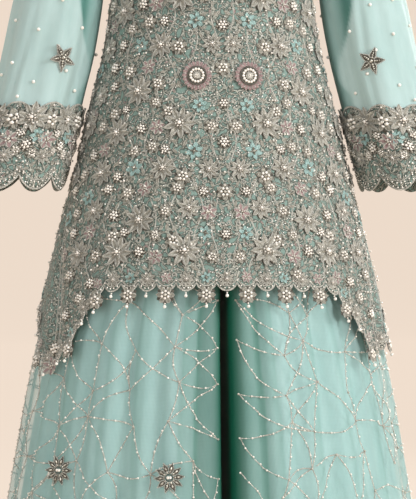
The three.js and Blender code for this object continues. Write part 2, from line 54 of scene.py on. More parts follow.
def table(columns, rows):
    """Rows with named columns, as one array for each column."""
    names = columns.split()
    return {name: np.array([row[i] for row in rows], float) for i, name in enumerate(names)}


# The peplum's sections, its side seams, its hem all round and its pleats, by the angle from the centre front.
# Widths are half widths, and start is the level below which a pleat grows.
PEPLUM = table("down halfWidth front back", [
    (262, 154, 128, 113), (361, 168, 137, 123), (427, 185, 145, 133), (480, 198, 152, 142),
    (531, 210, 159, 150), (617, 233, 173, 166), (680, 249, 184, 178), (726, 260, 192, 188),
    (792, 273, 205, 200), (870, 292, 216, 210),
])
SIDE_SEAM = table("down angle", [(262, 90), (480, 90), (560, 87), (636, 78), (745, 67), (870, 62)])
PEPLUM_HEM = table("angle down", [
    (-180, 724), (-120, 724), (-102, 728), (-90, 745), (-80, 792), (-71, 826), (-65, 835), (-60, 812),
    (-55, 793), (-52, 772), (-49, 738), (-45, 721), (-38, 714), (0, 712), (33, 716), (38, 718), (45, 738),
    (49, 757), (52, 785), (56, 808), (63, 811), (71, 803), (80, 784), (90, 750), (102, 728), (120, 724),
    (180, 724),
])
PEPLUM_FOLDS = table("angle width depth start", [
    (-36, 13, 4, 430), (-7, 9, 4, 300), (20, 12, 3, 480), (45, 10, 4, 420), (104, 13, 8, 420),
    (131, 11, 9, 380), (157, 10, 7, 420), (-174, 11, 8, 360), (-148, 12, 9, 400), (-120, 12, 8, 380),
])
PEPLUM_CREASES = table("angle width depth start", [
    (-58, 5, 3, 520), (-49, 4, 2, 560), (-26, 5, 1.5, 600), (9, 5, 1.5, 560), (31, 6, 2, 520),
    (56, 4, 2.5, 540), (92, 5, 2, 560), (117, 4, 2, 500), (168, 5, 2, 520), (-160, 4, 2, 480),
    (-134, 5, 2, 520), (-106, 5, 2, 560),
])
SEAM_GROOVE = {"width": 6.5, "depth": 8, "from": 480}
# One leg's sections and its pleats, by the share of the way round from the side seam, behind below zero.
# gap is from the centre line to the inner wall, corner is the rounding beside it, reach is how far the inner
# wall has got to the inseam, shift moves the widest line back and inset is how far in the lining lies.
LEG = table("down halfWidth front back gap corner reach shift fold inset", [
    (404, 130, 98, 98, 0.2, 0, 0, 0, 0, 1.7), (450, 155, 114, 115, 0.2, 0, 0, 0, 3, 6),
    (530, 184, 136, 138, 0.3, 0.5, 0.01, 0, 5, 9), (605, 210, 152, 152, 1, 4, 0.12, 0, 6, 10),
    (680, 235, 166, 160, 3, 16, 1, 0, 8, 12), (730, 245.5, 176, 164.5, 5, 26, 1, 0, 9, 14),
    (800, 268.3, 190, 189.5, 6, 34, 1, 11, 11, 18), (1055, 317, 230, 247, 7, 42, 1, 12, 15, 19),
    (1260, 352, 258, 277, 7, 46, 1, 12, 18, 22), (1465, 386, 285, 306, 7, 50, 1, 12, 21, 25),
])
LEG_FOLDS = table("at width depth", [
    (-0.595, 0.042, 0.7), (-0.5, 0.044, 1.0), (-0.405, 0.04, 0.8), (-0.31, 0.044, 1.0), (-0.21, 0.044, 0.7),
    (-0.12, 0.04, 0.9), (-0.045, 0.034, 0.6), (0.045, 0.034, 0.7), (0.125, 0.038, 1.0), (0.207, 0.042, 0.8),
    (0.305, 0.04, 0.7), (0.41, 0.044, 1.0), (0.5, 0.04, 0.7), (0.595, 0.042, 0.9),
])
LEG_CREASES = table("at width depth", [
    (-0.45, 0.02, 0.18), (-0.36, 0.018, 0.14), (-0.26, 0.02, 0.2), (-0.165, 0.018, 0.16), (0.085, 0.018, 0.2),
    (0.165, 0.016, 0.14), (0.256, 0.022, 0.2), (0.352, 0.02, 0.16), (0.455, 0.018, 0.2), (0.55, 0.018, 0.15),
])
# Where the legs part, and the lining's share of its inset at the inner wall and of the net's folds
CROTCH = {"from": 540, "length": 120}
WALL_INSET_SHARE = 0.65
LINING_FOLD_SHARE = 0.45
ARC_STEPS, WALL_STEPS = 97, 16
# The right leg's folds stand off the left's by the stagger, and each fold sways on its way down
LEG_STAGGER = 0.012
LEG_SWAY = {"share": 0.004, "length": 130}
# How near the cloth comes to the planes between the legs and between front and back
INNERMOST = 0.2
# The left sleeve's rings, from the shoulder along it, and its folds
SLEEVE = table("along innerX innerDown outerX outerDown halfDepth bow y fold", [
    (0, 158, 175, 188, 36, 62, 12, 0, 0), (30, 162, 188, 226, 62, 67, 6, -1, 2),
    (70, 164, 207, 256, 120, 69, 2, -3, 4), (130, 166, 238, 283, 200, 70, 0, -6, 6),
    (190, 169, 277, 305, 277, 72, 0, -9, 7), (275, 182, 361, 323, 361, 76, 0, -14, 9),
    (342, 198, 427, 338, 427, 79, 0, -18, 9), (400, 212, 485, 352, 485, 82, 0, -21, 6),
    (450, 224, 535, 365, 535, 84, 0, -23, 4), (500, 238, 585, 374, 585, 86, 0, -25, 4),
])
SLEEVE_FOLDS = table("angle width depth", [
    (28, 22, 0.7), (84, 20, 0.6), (138, 24, 1.0), (214, 26, 0.9), (262, 20, 0.6), (318, 24, 0.8),
])
SLEEVE_CREASES = table("angle width depth", [
    (8, 8, 0.22), (58, 9, 0.3), (72, 6, 0.16), (112, 8, 0.3), (160, 7, 0.2), (190, 8, 0.22), (240, 8, 0.25),
    (290, 9, 0.28), (342, 7, 0.2),
])
SLEEVE_SWAY = {"angle": 5, "length": 60}
SLEEVE_FOLD_UNIT = 75
# The bodice: its neckline and seam in front and behind, and what its halves share
NECK_FRONT = {"down": 95, "reach": 92, "seam": 128, "sign": -1, "hollow": 6}
NECK_BACK = {"down": 28, "reach": 48, "seam": 113, "sign": 1, "hollow": 4}
NECK_HALF_WIDTH = 78
NECK_SHARE, SHOULDER_SHARE = 0.42, 0.58
SIDE_SHARE, ARMHOLE_SHARE = 0.36, 0.64
SHOULDER = {"out": 188, "down": 36}
UNDERARM = {"out": 158, "down": 175}
SEAM_HALF_WIDTH = 154
EMPIRE_SEAM_DOWN = 262
CUP = {"across": 84, "down": 214, "width": 62, "height": 66, "rise": 16}
WAISTBAND = {"top": 372, "bottom": 404, "halfWidth": 131, "halfDepth": 99}
# Puckers round the waistband, and the share of its width that they take
PUCKERS, PUCKER_DEPTH = 36, 0.006
MIRROR = np.array([-1, 1, 1])


def read(rows, key, column, place):
    """A column of a table at places along its key, on a smooth curve that never overshoots its rows."""
    x, y = rows[key], rows[column]
    place = np.clip(np.asarray(place, float), x[0], x[-1])
    step = np.diff(x)
    slope = np.diff(y) / step
    tangent = np.empty_like(y)
    tangent[0], tangent[-1] = slope[0], slope[-1]
    product = slope[:-1] * slope[1:]
    total = np.where(product > 0, slope[:-1] + slope[1:], 1)
    tangent[1:-1] = np.where(product > 0, 2 * product / total, 0)
    i = np.clip(np.searchsorted(x, place, side="left") - 1, 0, len(step) - 1)
    t = (place - x[i]) / step[i]
    t2, t3 = t * t, t * t * t
    return ((2 * t3 - 3 * t2 + 1) * y[i] + (t3 - 2 * t2 + t) * step[i] * tangent[i]
            + (3 * t2 - 2 * t3) * y[i + 1] + (t3 - t2) * step[i] * tangent[i + 1])


def trough(offset, width):
    """1 in the middle of a trough and 0 at its rims."""
    return (1 + np.cos(np.pi * np.clip(offset / width, -1, 1))) / 2


def turn(start, end):
    """The way round from one angle to another, between -180 and 180 degrees."""
    return (end - start + 180) % 360 - 180


def smooth(low, high, value):
    """0 below low and 1 above high, with a soft step between."""
    t = np.clip((value - low) / (high - low), 0, 1)
    return t * t * (3 - 2 * t)


def unit(vectors):
    return vectors / np.maximum(np.linalg.norm(vectors, axis=-1, keepdims=True), 1e-9)


def grid_cells(grid):
    """The four corners of each cell in a grid of numbers or points."""
    return np.stack([grid[:-1, :-1], grid[1:, :-1], grid[1:, 1:], grid[:-1, 1:]], 2)


def peplum_point(angle, down):
    """The outside of the embroidered peplum, by the angle from the centre front."""
    s, c = np.sin(np.radians(angle)), np.cos(np.radians(angle))
    width = read(PEPLUM, "down", "halfWidth", down)
    depth = np.where(c > 0, read(PEPLUM, "down", "front", down), read(PEPLUM, "down", "back", down))
    hem = read(PEPLUM_HEM, "angle", "down", turn(0, angle))
    dip = np.zeros_like(angle + down)
    for folds in (PEPLUM_FOLDS, PEPLUM_CREASES):
        for centre, wide, deep, start in zip(*folds.values()):
            dip += deep * trough(turn(centre, angle), wide) * np.clip((down - start) / (hem - start), 0, 1)
    seam = read(SIDE_SEAM, "down", "angle", down)
    starts = SEAM_GROOVE["from"]
    groove = np.clip((down - starts) / (hem - starts), 0, 1) ** 0.7
    dip += SEAM_GROOVE["depth"] * groove * trough(np.abs(turn(0, angle)) - seam, SEAM_GROOVE["width"])
    out = unit(np.stack([s / width, -c / depth], -1))
    return np.stack([width * s - dip * out[..., 0], -depth * c - dip * out[..., 1],
                     -down + np.zeros_like(dip)], -1)


def sleeve_point(angle, along):
    """The outside of the left sleeve. 0 degrees is the outside of the arm and 90 its front."""
    ring = {name: read(SLEEVE, "along", name, along) for name in SLEEVE if name != "along"}
    size = np.ones_like(angle + along)
    for folds in (SLEEVE_FOLDS, SLEEVE_CREASES):
        for centre, wide, deep in zip(*folds.values()):
            drift = SLEEVE_SWAY["angle"] * np.sin(along / SLEEVE_SWAY["length"] + centre)
            size -= ring["fold"] / SLEEVE_FOLD_UNIT * deep * trough(turn(centre, angle + drift), wide)
    s, c = np.sin(np.radians(angle)), size * np.cos(np.radians(angle))
    x = (ring["innerX"] + ring["outerX"]) / 2 + (ring["outerX"] - ring["innerX"]) / 2 * c - ring["bow"] * s**2
    z = -(ring["innerDown"] + ring["outerDown"]) / 2 - (ring["outerDown"] - ring["innerDown"]) / 2 * c
    return np.stack([x, ring["y"] - ring["halfDepth"] * size * s, z], -1)


def leg_row(at, down, back, lining):
    """One level of the left leg's net or lining. at is 0 at the outseam and 1 at the inseam."""
    row = {name: float(read(LEG, "down", name, down)) for name in LEG if name != "down"}
    inset = row["inset"] if lining else 0
    width = row["halfWidth"] - inset
    below = min(max((down - CROTCH["from"]) / CROTCH["length"], 0), 1)
    gap = row["gap"] + inset * WALL_INSET_SHARE * below
    depth = (row["back"] - row["shift"] if back else row["front"] + row["shift"]) - inset
    corner, shift = row["corner"], row["shift"]
    phi = np.linspace(math.pi / 2, math.asin((gap + corner) / width), ARC_STEPS)
    bend = np.radians(np.arange(15, 91, 15))
    edge = depth * math.cos(phi[-1])
    wall = np.linspace(0, row["reach"], WALL_STEPS + 1)[1:]
    x = np.concatenate([width * np.sin(phi), gap + corner * (1 - np.sin(bend)), np.full(WALL_STEPS, gap)])
    y = np.concatenate([depth * np.cos(phi), edge - corner * (1 - np.cos(bend)),
                        (edge - corner) * (1 - wall)])
    lengths = np.concatenate([[0], np.cumsum(np.hypot(np.diff(x), np.diff(y)))])
    target = np.clip(at, 0, 1) * lengths[-1]
    px, py = np.interp(target, lengths, x), np.interp(target, lengths, y)
    tx, ty = np.gradient(px), np.gradient(py)
    size = np.maximum(np.hypot(tx, ty), 1e-9)
    dip = np.zeros_like(px)
    share = LINING_FOLD_SHARE if lining else 1
    for folds in (LEG_FOLDS, LEG_CREASES):
        for place, wide, deep in zip(*folds.values()):
            if (place < 0) == back:
                sway = LEG_SWAY["share"] * math.sin(down / LEG_SWAY["length"] + 40 * place)
                dip += share * row["fold"] * deep * trough(at - abs(place) + sway, wide)
    px, py = px - dip * ty / size, py + dip * tx / size
    sign = 1 if back else -1
    px, py = np.maximum(px, INNERMOST), np.maximum(py, INNERMOST)
    return np.stack([px, shift + sign * py, np.full_like(px, -down)], -1)


def bodice_point(across, up, half):
    """The left half of the bodice, front or back, filled in between its four edges."""
    sign, seam_reach, neck_reach = half["sign"], half["seam"], half["reach"]
    span = EMPIRE_SEAM_DOWN - UNDERARM["down"]

    def seam_edge(u):
        turned = np.pi / 2 * u
        return np.stack([SEAM_HALF_WIDTH * np.sin(turned), sign * seam_reach * np.cos(turned),
                         np.full_like(u, -EMPIRE_SEAM_DOWN)], -1)

    def top_edge(u):
        toward = np.cos(np.pi / 2 * np.clip(u / NECK_SHARE, 0, 1))
        t = np.clip((u - NECK_SHARE) / SHOULDER_SHARE, 0, 1)
        neck = np.stack([NECK_HALF_WIDTH * np.sin(np.arccos(toward)), sign * neck_reach * toward,
                         -half["down"] * toward**1.1], -1)
        shoulder = np.stack([NECK_HALF_WIDTH + (SHOULDER["out"] - NECK_HALF_WIDTH) * t, 0 * t,
                             -SHOULDER["down"] * t], -1)
        return np.where((u < NECK_SHARE)[..., None], neck, shoulder)

    def side_edge(v):
        around = 180 * (1 - np.clip((v - SIDE_SHARE) / ARMHOLE_SHARE, 0, 1)) * -sign
        arm = sleeve_point(around, np.zeros_like(v))
        t = np.clip(v / SIDE_SHARE, 0, 1)
        side = np.stack([SEAM_HALF_WIDTH + (UNDERARM["out"] - SEAM_HALF_WIDTH) * t, 0 * t,
                         -EMPIRE_SEAM_DOWN + span * t], -1)
        return np.where((v > SIDE_SHARE)[..., None], arm, side)

    def centre_edge(v):
        reach = seam_reach + (neck_reach - seam_reach) * v**1.4 + np.sin(np.pi * v) * half["hollow"]
        return np.stack([0 * v, sign * reach, -EMPIRE_SEAM_DOWN + (EMPIRE_SEAM_DOWN - half["down"]) * v], -1)

    u, v = np.broadcast_arrays(across, up)
    one, zero = np.ones_like(u), np.zeros_like(u)
    out, high = u[..., None], v[..., None]
    p = seam_edge(u) * (1 - high) + top_edge(u) * high + centre_edge(v) * (1 - out) + side_edge(v) * out
    p = p - seam_edge(zero) * (1 - out) * (1 - high) - seam_edge(one) * out * (1 - high)
    p = p - top_edge(zero) * (1 - out) * high - top_edge(one) * out * high
    if half is NECK_FRONT:
        away = ((p[..., 0] - CUP["across"]) / CUP["width"]) ** 2
        away = away + ((p[..., 2] + CUP["down"]) / CUP["height"]) ** 2
        fade = np.sin(np.pi * np.minimum(1, v / 0.9)) ** 0.5 * (1 - u**4)
        p[..., 1] -= CUP["rise"] * np.exp(-away) * fade
    return p


class Surface:
    """A cloth surface sampled on a grid of two parameters, for laying cloth and trimmings on."""

    def __init__(self, points, a, b, centre=None, flip=False):
        """centre is a point inside the cloth, or None for a tube, where each row has its own."""
        self.a, self.b = a, b
        if flip:
            points = points * MIRROR
        along = np.gradient(points, axis=1)
        down = np.gradient(points, axis=0)
        normal = unit(np.cross(along, down))
        away = points - (points.mean(axis=1, keepdims=True) if centre is None else np.array(centre, float))
        self.mirrored = bool(np.sum(normal * away) > 0)
        step = np.linalg.norm(np.diff(points, axis=1), axis=-1)
        self.arc = np.concatenate([np.zeros((len(b), 1)), np.cumsum(step, axis=1)], axis=1)
        self.points, self.normal = points, normal if self.mirrored else -normal
        self.scale_b = np.linalg.norm(down, axis=-1) / np.gradient(b)[:, None]
        self.scale_a = np.linalg.norm(along, axis=-1) / np.gradient(a)[None, :]

    def raised(self, height):
        """The same surface moved out by a height."""
        upper = copy.copy(self)
        upper.points = self.points + self.normal * height
        return upper

    def row(self, b):
        """The index of the sampled row nearest above b."""
        share = (b - self.b[0]) / (self.b[-1] - self.b[0])
        return int(np.clip(share * (len(self.b) - 1), 0, len(self.b) - 1))

    def sample(self, field, a, b):
        """A grid's values at places between its rows and columns."""
        i = np.clip((a - self.a[0]) / (self.a[-1] - self.a[0]) * (len(self.a) - 1), 0, len(self.a) - 1.001)
        k = np.clip((b - self.b[0]) / (self.b[-1] - self.b[0]) * (len(self.b) - 1), 0, len(self.b) - 1.001)
        i0, k0 = i.astype(int), k.astype(int)
        s, t = i - i0, k - k0
        if field.ndim == 3:
            s, t = s[..., None], t[..., None]
        top = field[k0, i0] * (1 - s) + field[k0, i0 + 1] * s
        low = field[k0 + 1, i0] * (1 - s) + field[k0 + 1, i0 + 1] * s
        return top * (1 - t) + low * t

    def lay(self, a, b, height=0.0):
        """Points on the surface, or at a height above it."""
        a, b = np.broadcast_arrays(np.asarray(a, float), np.asarray(b, float))
        normal = unit(self.sample(self.normal, a, b))
        return self.sample(self.points, a, b) + normal * np.asarray(height, float)[..., None]

    def stretch(self, a, b):
        """How many millimetres one step of the first parameter covers at a place."""
        return float(self.sample(self.scale_a, np.array(a), np.array(b)))

    def across(self, distance, b, start):
        """The first parameter at a distance in millimetres along the row from start."""
        out = []
        for d, level in zip(np.atleast_1d(distance), np.atleast_1d(b)):
            k = self.row(level)
            origin = np.interp(start, self.a, self.arc[k])
            out.append(np.interp(origin + d, self.arc[k], self.a))
        return np.array(out)


def grid_surface(point, a, b, centre=None, flip=False):
    """A surface sampled from a function of its two parameters."""
    return Surface(point(a[None, :], b[:, None]), a, b, centre, flip)


def leg_surface(side, back, lining):
    """One panel of a leg, by how far round it from the side seam and how far down."""
    at, down = np.linspace(0, 1, 401), np.linspace(404, 1466, 140)
    nudge = LEG_STAGGER * np.sin(np.pi * at) if side < 0 else 0
    points = np.stack([leg_row(at + nudge, d, back, lining) for d in down])
    return Surface(points, at, down, (side * 110, 0, -900), side < 0)


# Meshes


def finish_mesh(name, vertices, faces, slots=None, uv=None):
    """An object of the given mesh, in metres and at the origin, riding on the only body."""
    mesh = bpy.data.meshes.new(name)
    mesh.from_pydata((np.asarray(vertices) * MM).tolist(), [], faces)
    if slots is not None:
        mesh.polygons.foreach_set("material_index", np.asarray(slots, np.int32))
    mesh.polygons.foreach_set("use_smooth", np.ones(len(mesh.polygons), bool))
    if uv is not None:
        layer = mesh.uv_layers.new(name="cloth")
        layer.data.foreach_set("uv", np.asarray(uv, np.float32).ravel())
    mesh.update()
    piece = bpy.data.objects.new(name, mesh)
    bpy.context.scene.collection.objects.link(piece)
    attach(piece, "root")
    return piece


def cloth(name, surface, a, b, height=0.0, closed=False, shade=None):
    """A sheet over rows of parameters a and b, each of shape (rows, columns), with a map in metres.
    shade is how dark the cloth is, from 0 to 1, where it lies in two layers and where shade is painted on it."""
    points = surface.lay(a, b, height)
    rows, columns = a.shape
    step = np.linalg.norm(np.diff(points, axis=1), axis=-1)
    u = np.concatenate([np.zeros((rows, 1)), np.cumsum(step, axis=1)], axis=1)
    u = (u - u[:, -1:] / 2) * MM
    v = np.concatenate([[0], np.cumsum(np.linalg.norm(np.diff(points[:, columns // 2], axis=0), axis=-1))])
    v = np.broadcast_to((-v * MM)[:, None], (rows, columns))
    kept = columns - 1 if closed else columns
    ids = np.arange(rows * kept).reshape(rows, kept)
    if closed:
        ids = np.concatenate([ids, ids[:, :1]], axis=1)
    faces = grid_cells(ids).reshape(-1, 4)
    corners = grid_cells(np.stack([u, v], -1)).reshape(-1, 4, 2)
    vertices = points[:, :kept].reshape(-1, 3)
    first = vertices[faces[:, 0]]
    facing = np.cross(vertices[faces[:, 1]] - first, vertices[faces[:, 2]] - first)
    lie = surface.lay(a[:-1, :-1], b[:-1, :-1], 1.0) - surface.lay(a[:-1, :-1], b[:-1, :-1], 0.0)
    if np.sum(facing * lie.reshape(-1, 3)) < 0:
        faces, corners = faces[:, ::-1], corners[:, ::-1]
    piece = finish_mesh(name, vertices, faces.tolist(), uv=corners)
    if shade is not None:
        # Stored on the mesh: how dark the cloth is from two layers and from painted shade
        painted = piece.data.attributes.new("doubled_and_painted_shade", "FLOAT", "POINT")
        painted.data.foreach_set("value", shade[:, :kept].ravel().astype(np.float32))
    return piece


def applied(piece, kind, **settings):
    """Adds a modifier to a piece and applies it."""
    bpy.ops.object.select_all(action="DESELECT")
    bpy.context.view_layer.objects.active = piece
    piece.select_set(True)
    modifier = piece.modifiers.new(kind, kind)
    for name, value in settings.items():
        setattr(modifier, name, value)
    bpy.ops.object.modifier_apply(modifier=modifier.name)


def dress(piece, finish, node, thickness=0):
    """Gives a sheet its finish and its thickness inward, if any, and sets it in its node's place."""
    piece.data.materials.append(finish)
    if thickness:
        applied(piece, "SOLIDIFY", thickness=thickness * MM, offset=-1)
    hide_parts(node)


# A sewn cord's section, as shares of its radius across and up
CORD_PROFILE = [(-1, 0), (0, 1), (1, 0)]


def repeated(faces, copies, stride):
    """A shape's faces for a number of copies, whose corners follow each other."""
    return (faces[None] + (np.arange(copies) * stride)[:, None, None]).reshape(-1, faces.shape[1])


class Trimming:
    """Collects copies of small shapes on a surface, and makes them one piece."""

    def __init__(self, name):
        self.name, self.vertices, self.faces, self.slots, self.count = name, [], [], [], 0

    def add(self, vertices, faces, slot):
        self.vertices.append(vertices.reshape(-1, 3))
        self.faces += (np.asarray(faces) + self.count).tolist()
        self.slots += [slot] * len(faces)
        self.count += len(self.vertices[-1])

    def scatter(self, surface, motif, a, b, size=1.0, angle=0.0):
        """Copies of a motif at places a, b, scaled and turned in the cloth's surface."""
        placing = [np.atleast_1d(x).astype(float) for x in (a, b, size, angle)]
        a, b, size, angle = (x[:, None] for x in np.broadcast_arrays(*placing))
        scale_a = surface.sample(surface.scale_a, a, b)
        scale_b = surface.sample(surface.scale_b, a, b)
        for vertices, faces, slot in motif:
            x, y, h = (vertices[None, :, i] * size for i in range(3))
            right = x * np.cos(angle) - y * np.sin(angle)
            up = x * np.sin(angle) + y * np.cos(angle)
            points = surface.lay(a + right / scale_a, b - up / scale_b, h)
            tiled = repeated(faces, len(points), len(vertices))
            self.add(points, tiled[:, ::-1] if surface.mirrored else tiled, slot)

    def cord(self, surface, a, b, radius, slot):
        """A half-round cord sewn along a path on the surface."""
        points = surface.lay(a, b, 0.0)
        normal = surface.lay(a, b, 1.0) - points
        ahead = np.gradient(points, axis=0)
        side = unit(np.cross(normal, ahead))
        rows = np.stack([points + radius * (x * side + h * normal) for x, h in CORD_PROFILE], 1)
        ids = np.arange(len(points) * len(CORD_PROFILE)).reshape(len(points), -1)
        self.add(rows, grid_cells(ids).reshape(-1, 4), slot)

    def beads(self, surface, a, b, radius, template, slot, lift=0.8):
        """Copies of a bead's shape at places a, b, standing as high as lift times their radius."""
        centres = surface.lay(a, b, np.broadcast_to(radius * lift, np.shape(a)).astype(float))
        radius = np.broadcast_to(radius, (len(centres),))[:, None, None]
        vertices, faces = template
        points = centres[:, None, :] + vertices[None] * radius
        self.add(points, repeated(faces, len(points), len(vertices)), slot)

    def build(self):
        """The trimming as one piece, in the trims' finishes."""
        piece = finish_mesh(self.name, np.concatenate(self.vertices), self.faces, self.slots)
        for finish in TRIMS:
            piece.data.materials.append(finish)
        return piece


def shape_of(make):
    """The corners and faces of a primitive of radius 1, as arrays."""
    bpy.ops.object.select_all(action="DESELECT")
    make()
    shape = bpy.context.object
    vertices = np.array([v.co[:] for v in shape.data.vertices])
    faces = np.array([list(p.vertices) for p in shape.data.polygons])
    bpy.data.objects.remove(shape)
    return vertices, faces


# A pearl, a bead and a cut bead, from round to eight-sided
PEARL_SHAPE = shape_of(lambda: bpy.ops.mesh.primitive_ico_sphere_add(subdivisions=2, radius=1))
BEAD_SHAPE = shape_of(lambda: bpy.ops.mesh.primitive_ico_sphere_add(subdivisions=1, radius=1))
CUT_SHAPE = (np.array([(1, 0, 0), (0, 1, 0), (-1, 0, 0), (0, -1, 0), (0, 0, 1), (0, 0, -1)], float),
             np.array([(0, 1, 4), (1, 2, 4), (2, 3, 4), (3, 0, 4),
                       (1, 0, 5), (2, 1, 5), (3, 2, 5), (0, 3, 5)]))


# Finishes


class Signal:
    """A socket that takes part in arithmetic, each operation adding a Math node."""

    def __init__(self, finish, socket):
        self.finish, self.socket = finish, socket

    def math(self, operation, *values):
        return self.finish.node("ShaderNodeMath", {"operation": operation}, dict(enumerate(values)))

    def __add__(self, other):
        return self.math("ADD", self, other)

    def __radd__(self, other):
        return self.math("ADD", other, self)

    def __sub__(self, other):
        return self.math("SUBTRACT", self, other)

    def __rsub__(self, other):
        return self.math("SUBTRACT", other, self)

    def __mul__(self, other):
        return self.math("MULTIPLY", self, other)

    def __rmul__(self, other):
        return self.math("MULTIPLY", other, self)

    def between(self, low, high):
        """0 below low and 1 above high, with a soft step between."""
        return self.finish.node("ShaderNodeMapRange", {"interpolation_type": "SMOOTHSTEP"},
                                {"Value": self, "From Min": low, "From Max": high})


class Finish:
    """A material with one surface shader, and the nodes that vary it."""

    def __init__(self, name, colour, roughness, **fixed):
        self.material = bpy.data.materials.new(name)
        self.material.use_nodes = True
        self.tree = self.material.node_tree
        self.shader = self.tree.nodes["Principled BSDF"]
        self.set("Base Color", colour)
        self.set("Roughness", roughness)
        for key, value in fixed.items():
            self.set(key.replace("_", " "), value)

    def set(self, name, value):
        """Links a signal to the shader's socket, or sets its value."""
        socket = self.shader.inputs[name]
        if isinstance(value, Signal):
            self.tree.links.new(value.socket, socket)
        else:
            socket.default_value = value

    def node(self, kind, settings=None, inputs=None, output=0):
        """Adds a node, sets it up, links or sets its inputs, and gives one of its outputs."""
        made = self.tree.nodes.new(kind)
        for key, value in (settings or {}).items():
            setattr(made, key, value)
        for key, value in (inputs or {}).items():
            if isinstance(value, Signal):
                self.tree.links.new(value.socket, made.inputs[key])
            else:
                made.inputs[key].default_value = value
        return Signal(self, made.outputs[output])

    def chart(self, kind="UV"):
        return self.node("ShaderNodeTexCoord", output=kind)

    def blend(self, share, first, second):
        return self.node("ShaderNodeMix", {"data_type": "RGBA"}, {0: share, 6: first, 7: second}, output=2)

    def wave(self, place, direction, scale, **bending):
        return self.node("ShaderNodeTexWave", {"bands_direction": direction},
                         {"Vector": place, "Scale": scale, **bending})

    def noise(self, place, scale, detail):
        return self.node("ShaderNodeTexNoise",
                         inputs={"Vector": place, "Scale": scale, "Detail": detail, "Roughness": 0.55})

    def bump(self, height, distance, strength):
        relief = {"Height": height, "Distance": distance, "Strength": strength}
        self.set("Normal", self.node("ShaderNodeBump", inputs=relief))

    def doubled_and_painted_shade(self):
        """How dark a sheet is where it lies in two layers and where shade is painted on it, as its mesh says.
        """
        return self.node("ShaderNodeAttribute", {"attribute_name": "doubled_and_painted_shade"}, output="Fac")

    def stretched(self, place, scale):
        return self.node("ShaderNodeMapping", inputs={"Vector": place, "Scale": scale})


def colour(red, green, blue):
    """An 8-bit screen colour as the shader's linear colour."""
    parts = [x / 255 for x in (red, green, blue)]
    return (*[x / 12.92 if x <= 0.04045 else ((x + 0.055) / 1.055) ** 2.4 for x in parts], 1.0)


AQUA_LIGHT = colour(150, 174, 163)
AQUA = colour(142, 186, 182)
AQUA_DEEP = colour(74, 98, 88)
THREAD = colour(226, 221, 208)
THREAD_DARK = colour(106, 104, 92)
# The colour of the painted shade beside the net's scrolls and round its sequins
PAINTED_SHADE = colour(56, 56, 45)
PEARL = colour(246, 242, 232)
BACKDROP = colour(240, 222, 205)


def embroidered_net():
    """Aqua net covered with fine scrolls of thread and tiny sequins, with painted shade beside the scrolls
    and painted shadow rings round the sequins.
    """
    f = Finish("embroidered_net", AQUA, 0.62, Sheen_Weight=0.15, Sheen_Roughness=0.4)
    chart = f.chart()
    cloudy = f.noise(chart, 30.0, 2)
    drift = f.node("ShaderNodeTexNoise", inputs={"Vector": chart, "Scale": 48.0, "Detail": 2.0}, output=1)
    bent = f.node("ShaderNodeMix", {"data_type": "VECTOR"}, {0: 0.025, 4: chart, 5: drift}, output=1)
    cells = f.node("ShaderNodeTexVoronoi", {"feature": "DISTANCE_TO_EDGE"}, {"Vector": bent, "Scale": 96.0})
    scrolls = 1 - cells.between(0.05, 0.1)
    # beside is painted shade along each scroll
    beside = (1 - cells.between(0.08, 0.26)) * (1 - scrolls)
    fine = f.noise(chart, 420.0, 2)
    ground = f.blend(cloudy * 0.5 + fine * 0.7 - 0.1, AQUA_DEEP, AQUA_LIGHT)
    ground = f.blend(beside * 0.85, ground, PAINTED_SHADE)
    thread = f.blend(fine.between(0.35, 0.65), THREAD_DARK, colour(196, 192, 178))
    stitched = f.blend(scrolls * 0.85, ground, thread)
    spots = f.node("ShaderNodeTexVoronoi", inputs={"Vector": chart, "Scale": 190.0})
    chosen = cloudy.between(0.42, 0.55)
    sequins = (1 - spots.between(0.18, 0.24)) * chosen
    # rings is a painted shadow round each sequin
    rings = (1 - spots.between(0.28, 0.4)) * chosen * (1 - sequins)
    f.set("Base Color", f.blend(sequins, f.blend(rings * 0.7, stitched, PAINTED_SHADE), PEARL))
    f.set("Roughness", 0.7 - 0.4 * sequins)
    f.bump(scrolls * 0.8 + sequins - beside * 0.3, 0.0014, 1.0)
    return f.material


def sheer(name, alpha, light, deep, two_layer_and_shade_colour, scale):
    """Sheer crisp cloth, closer and darker where it lies in two layers and where shade is painted on it."""
    f = Finish(name, light, 0.5, Specular_IOR_Level=0.12)
    chart = f.chart()
    long_way = f.wave(chart, "X", scale)
    cross_way = f.wave(chart, "Y", scale)
    cloudy = f.noise(f.stretched(chart, (9.0, 3.0, 1.0)), 3.0, 3)
    doubled_and_painted_shade = f.doubled_and_painted_shade()
    # The darkest colour, closer too, stands for two layers of cloth and for painted shade, as the mesh gives
    # them
    f.set("Base Color", f.blend(doubled_and_painted_shade, f.blend(cloudy, deep, light), two_layer_and_shade_colour))
    f.set("Alpha", alpha - 0.07 + 0.1 * cloudy + 0.04 * long_way + 0.04 * cross_way + 0.35 * doubled_and_painted_shade)
    f.bump(long_way + cross_way + 3.0 * cloudy, 0.0004, 0.5)
    return f.material


def satin():
    """Smooth satin with soft streaks along its threads, painted dark green where the mesh gives the shade
    between the legs.
    """
    f = Finish("satin_lining", AQUA, 0.34, Specular_IOR_Level=0.15)
    chart = f.chart()
    streaks = f.noise(f.stretched(chart, (60.0, 4.0, 1.0)), 4.0, 3)
    twill = f.wave(chart, "DIAGONAL", 320.0)
    lit = f.blend(streaks, colour(144, 186, 181), colour(186, 217, 212))
    # Painted shade: dark green toward the wall between the legs
    f.set("Base Color", f.blend(f.doubled_and_painted_shade(), lit, colour(8, 104, 76)))
    f.set("Roughness", 0.28 + 0.16 * streaks)
    f.bump(twill * 0.3 + streaks, 0.0003, 0.4)
    return f.material


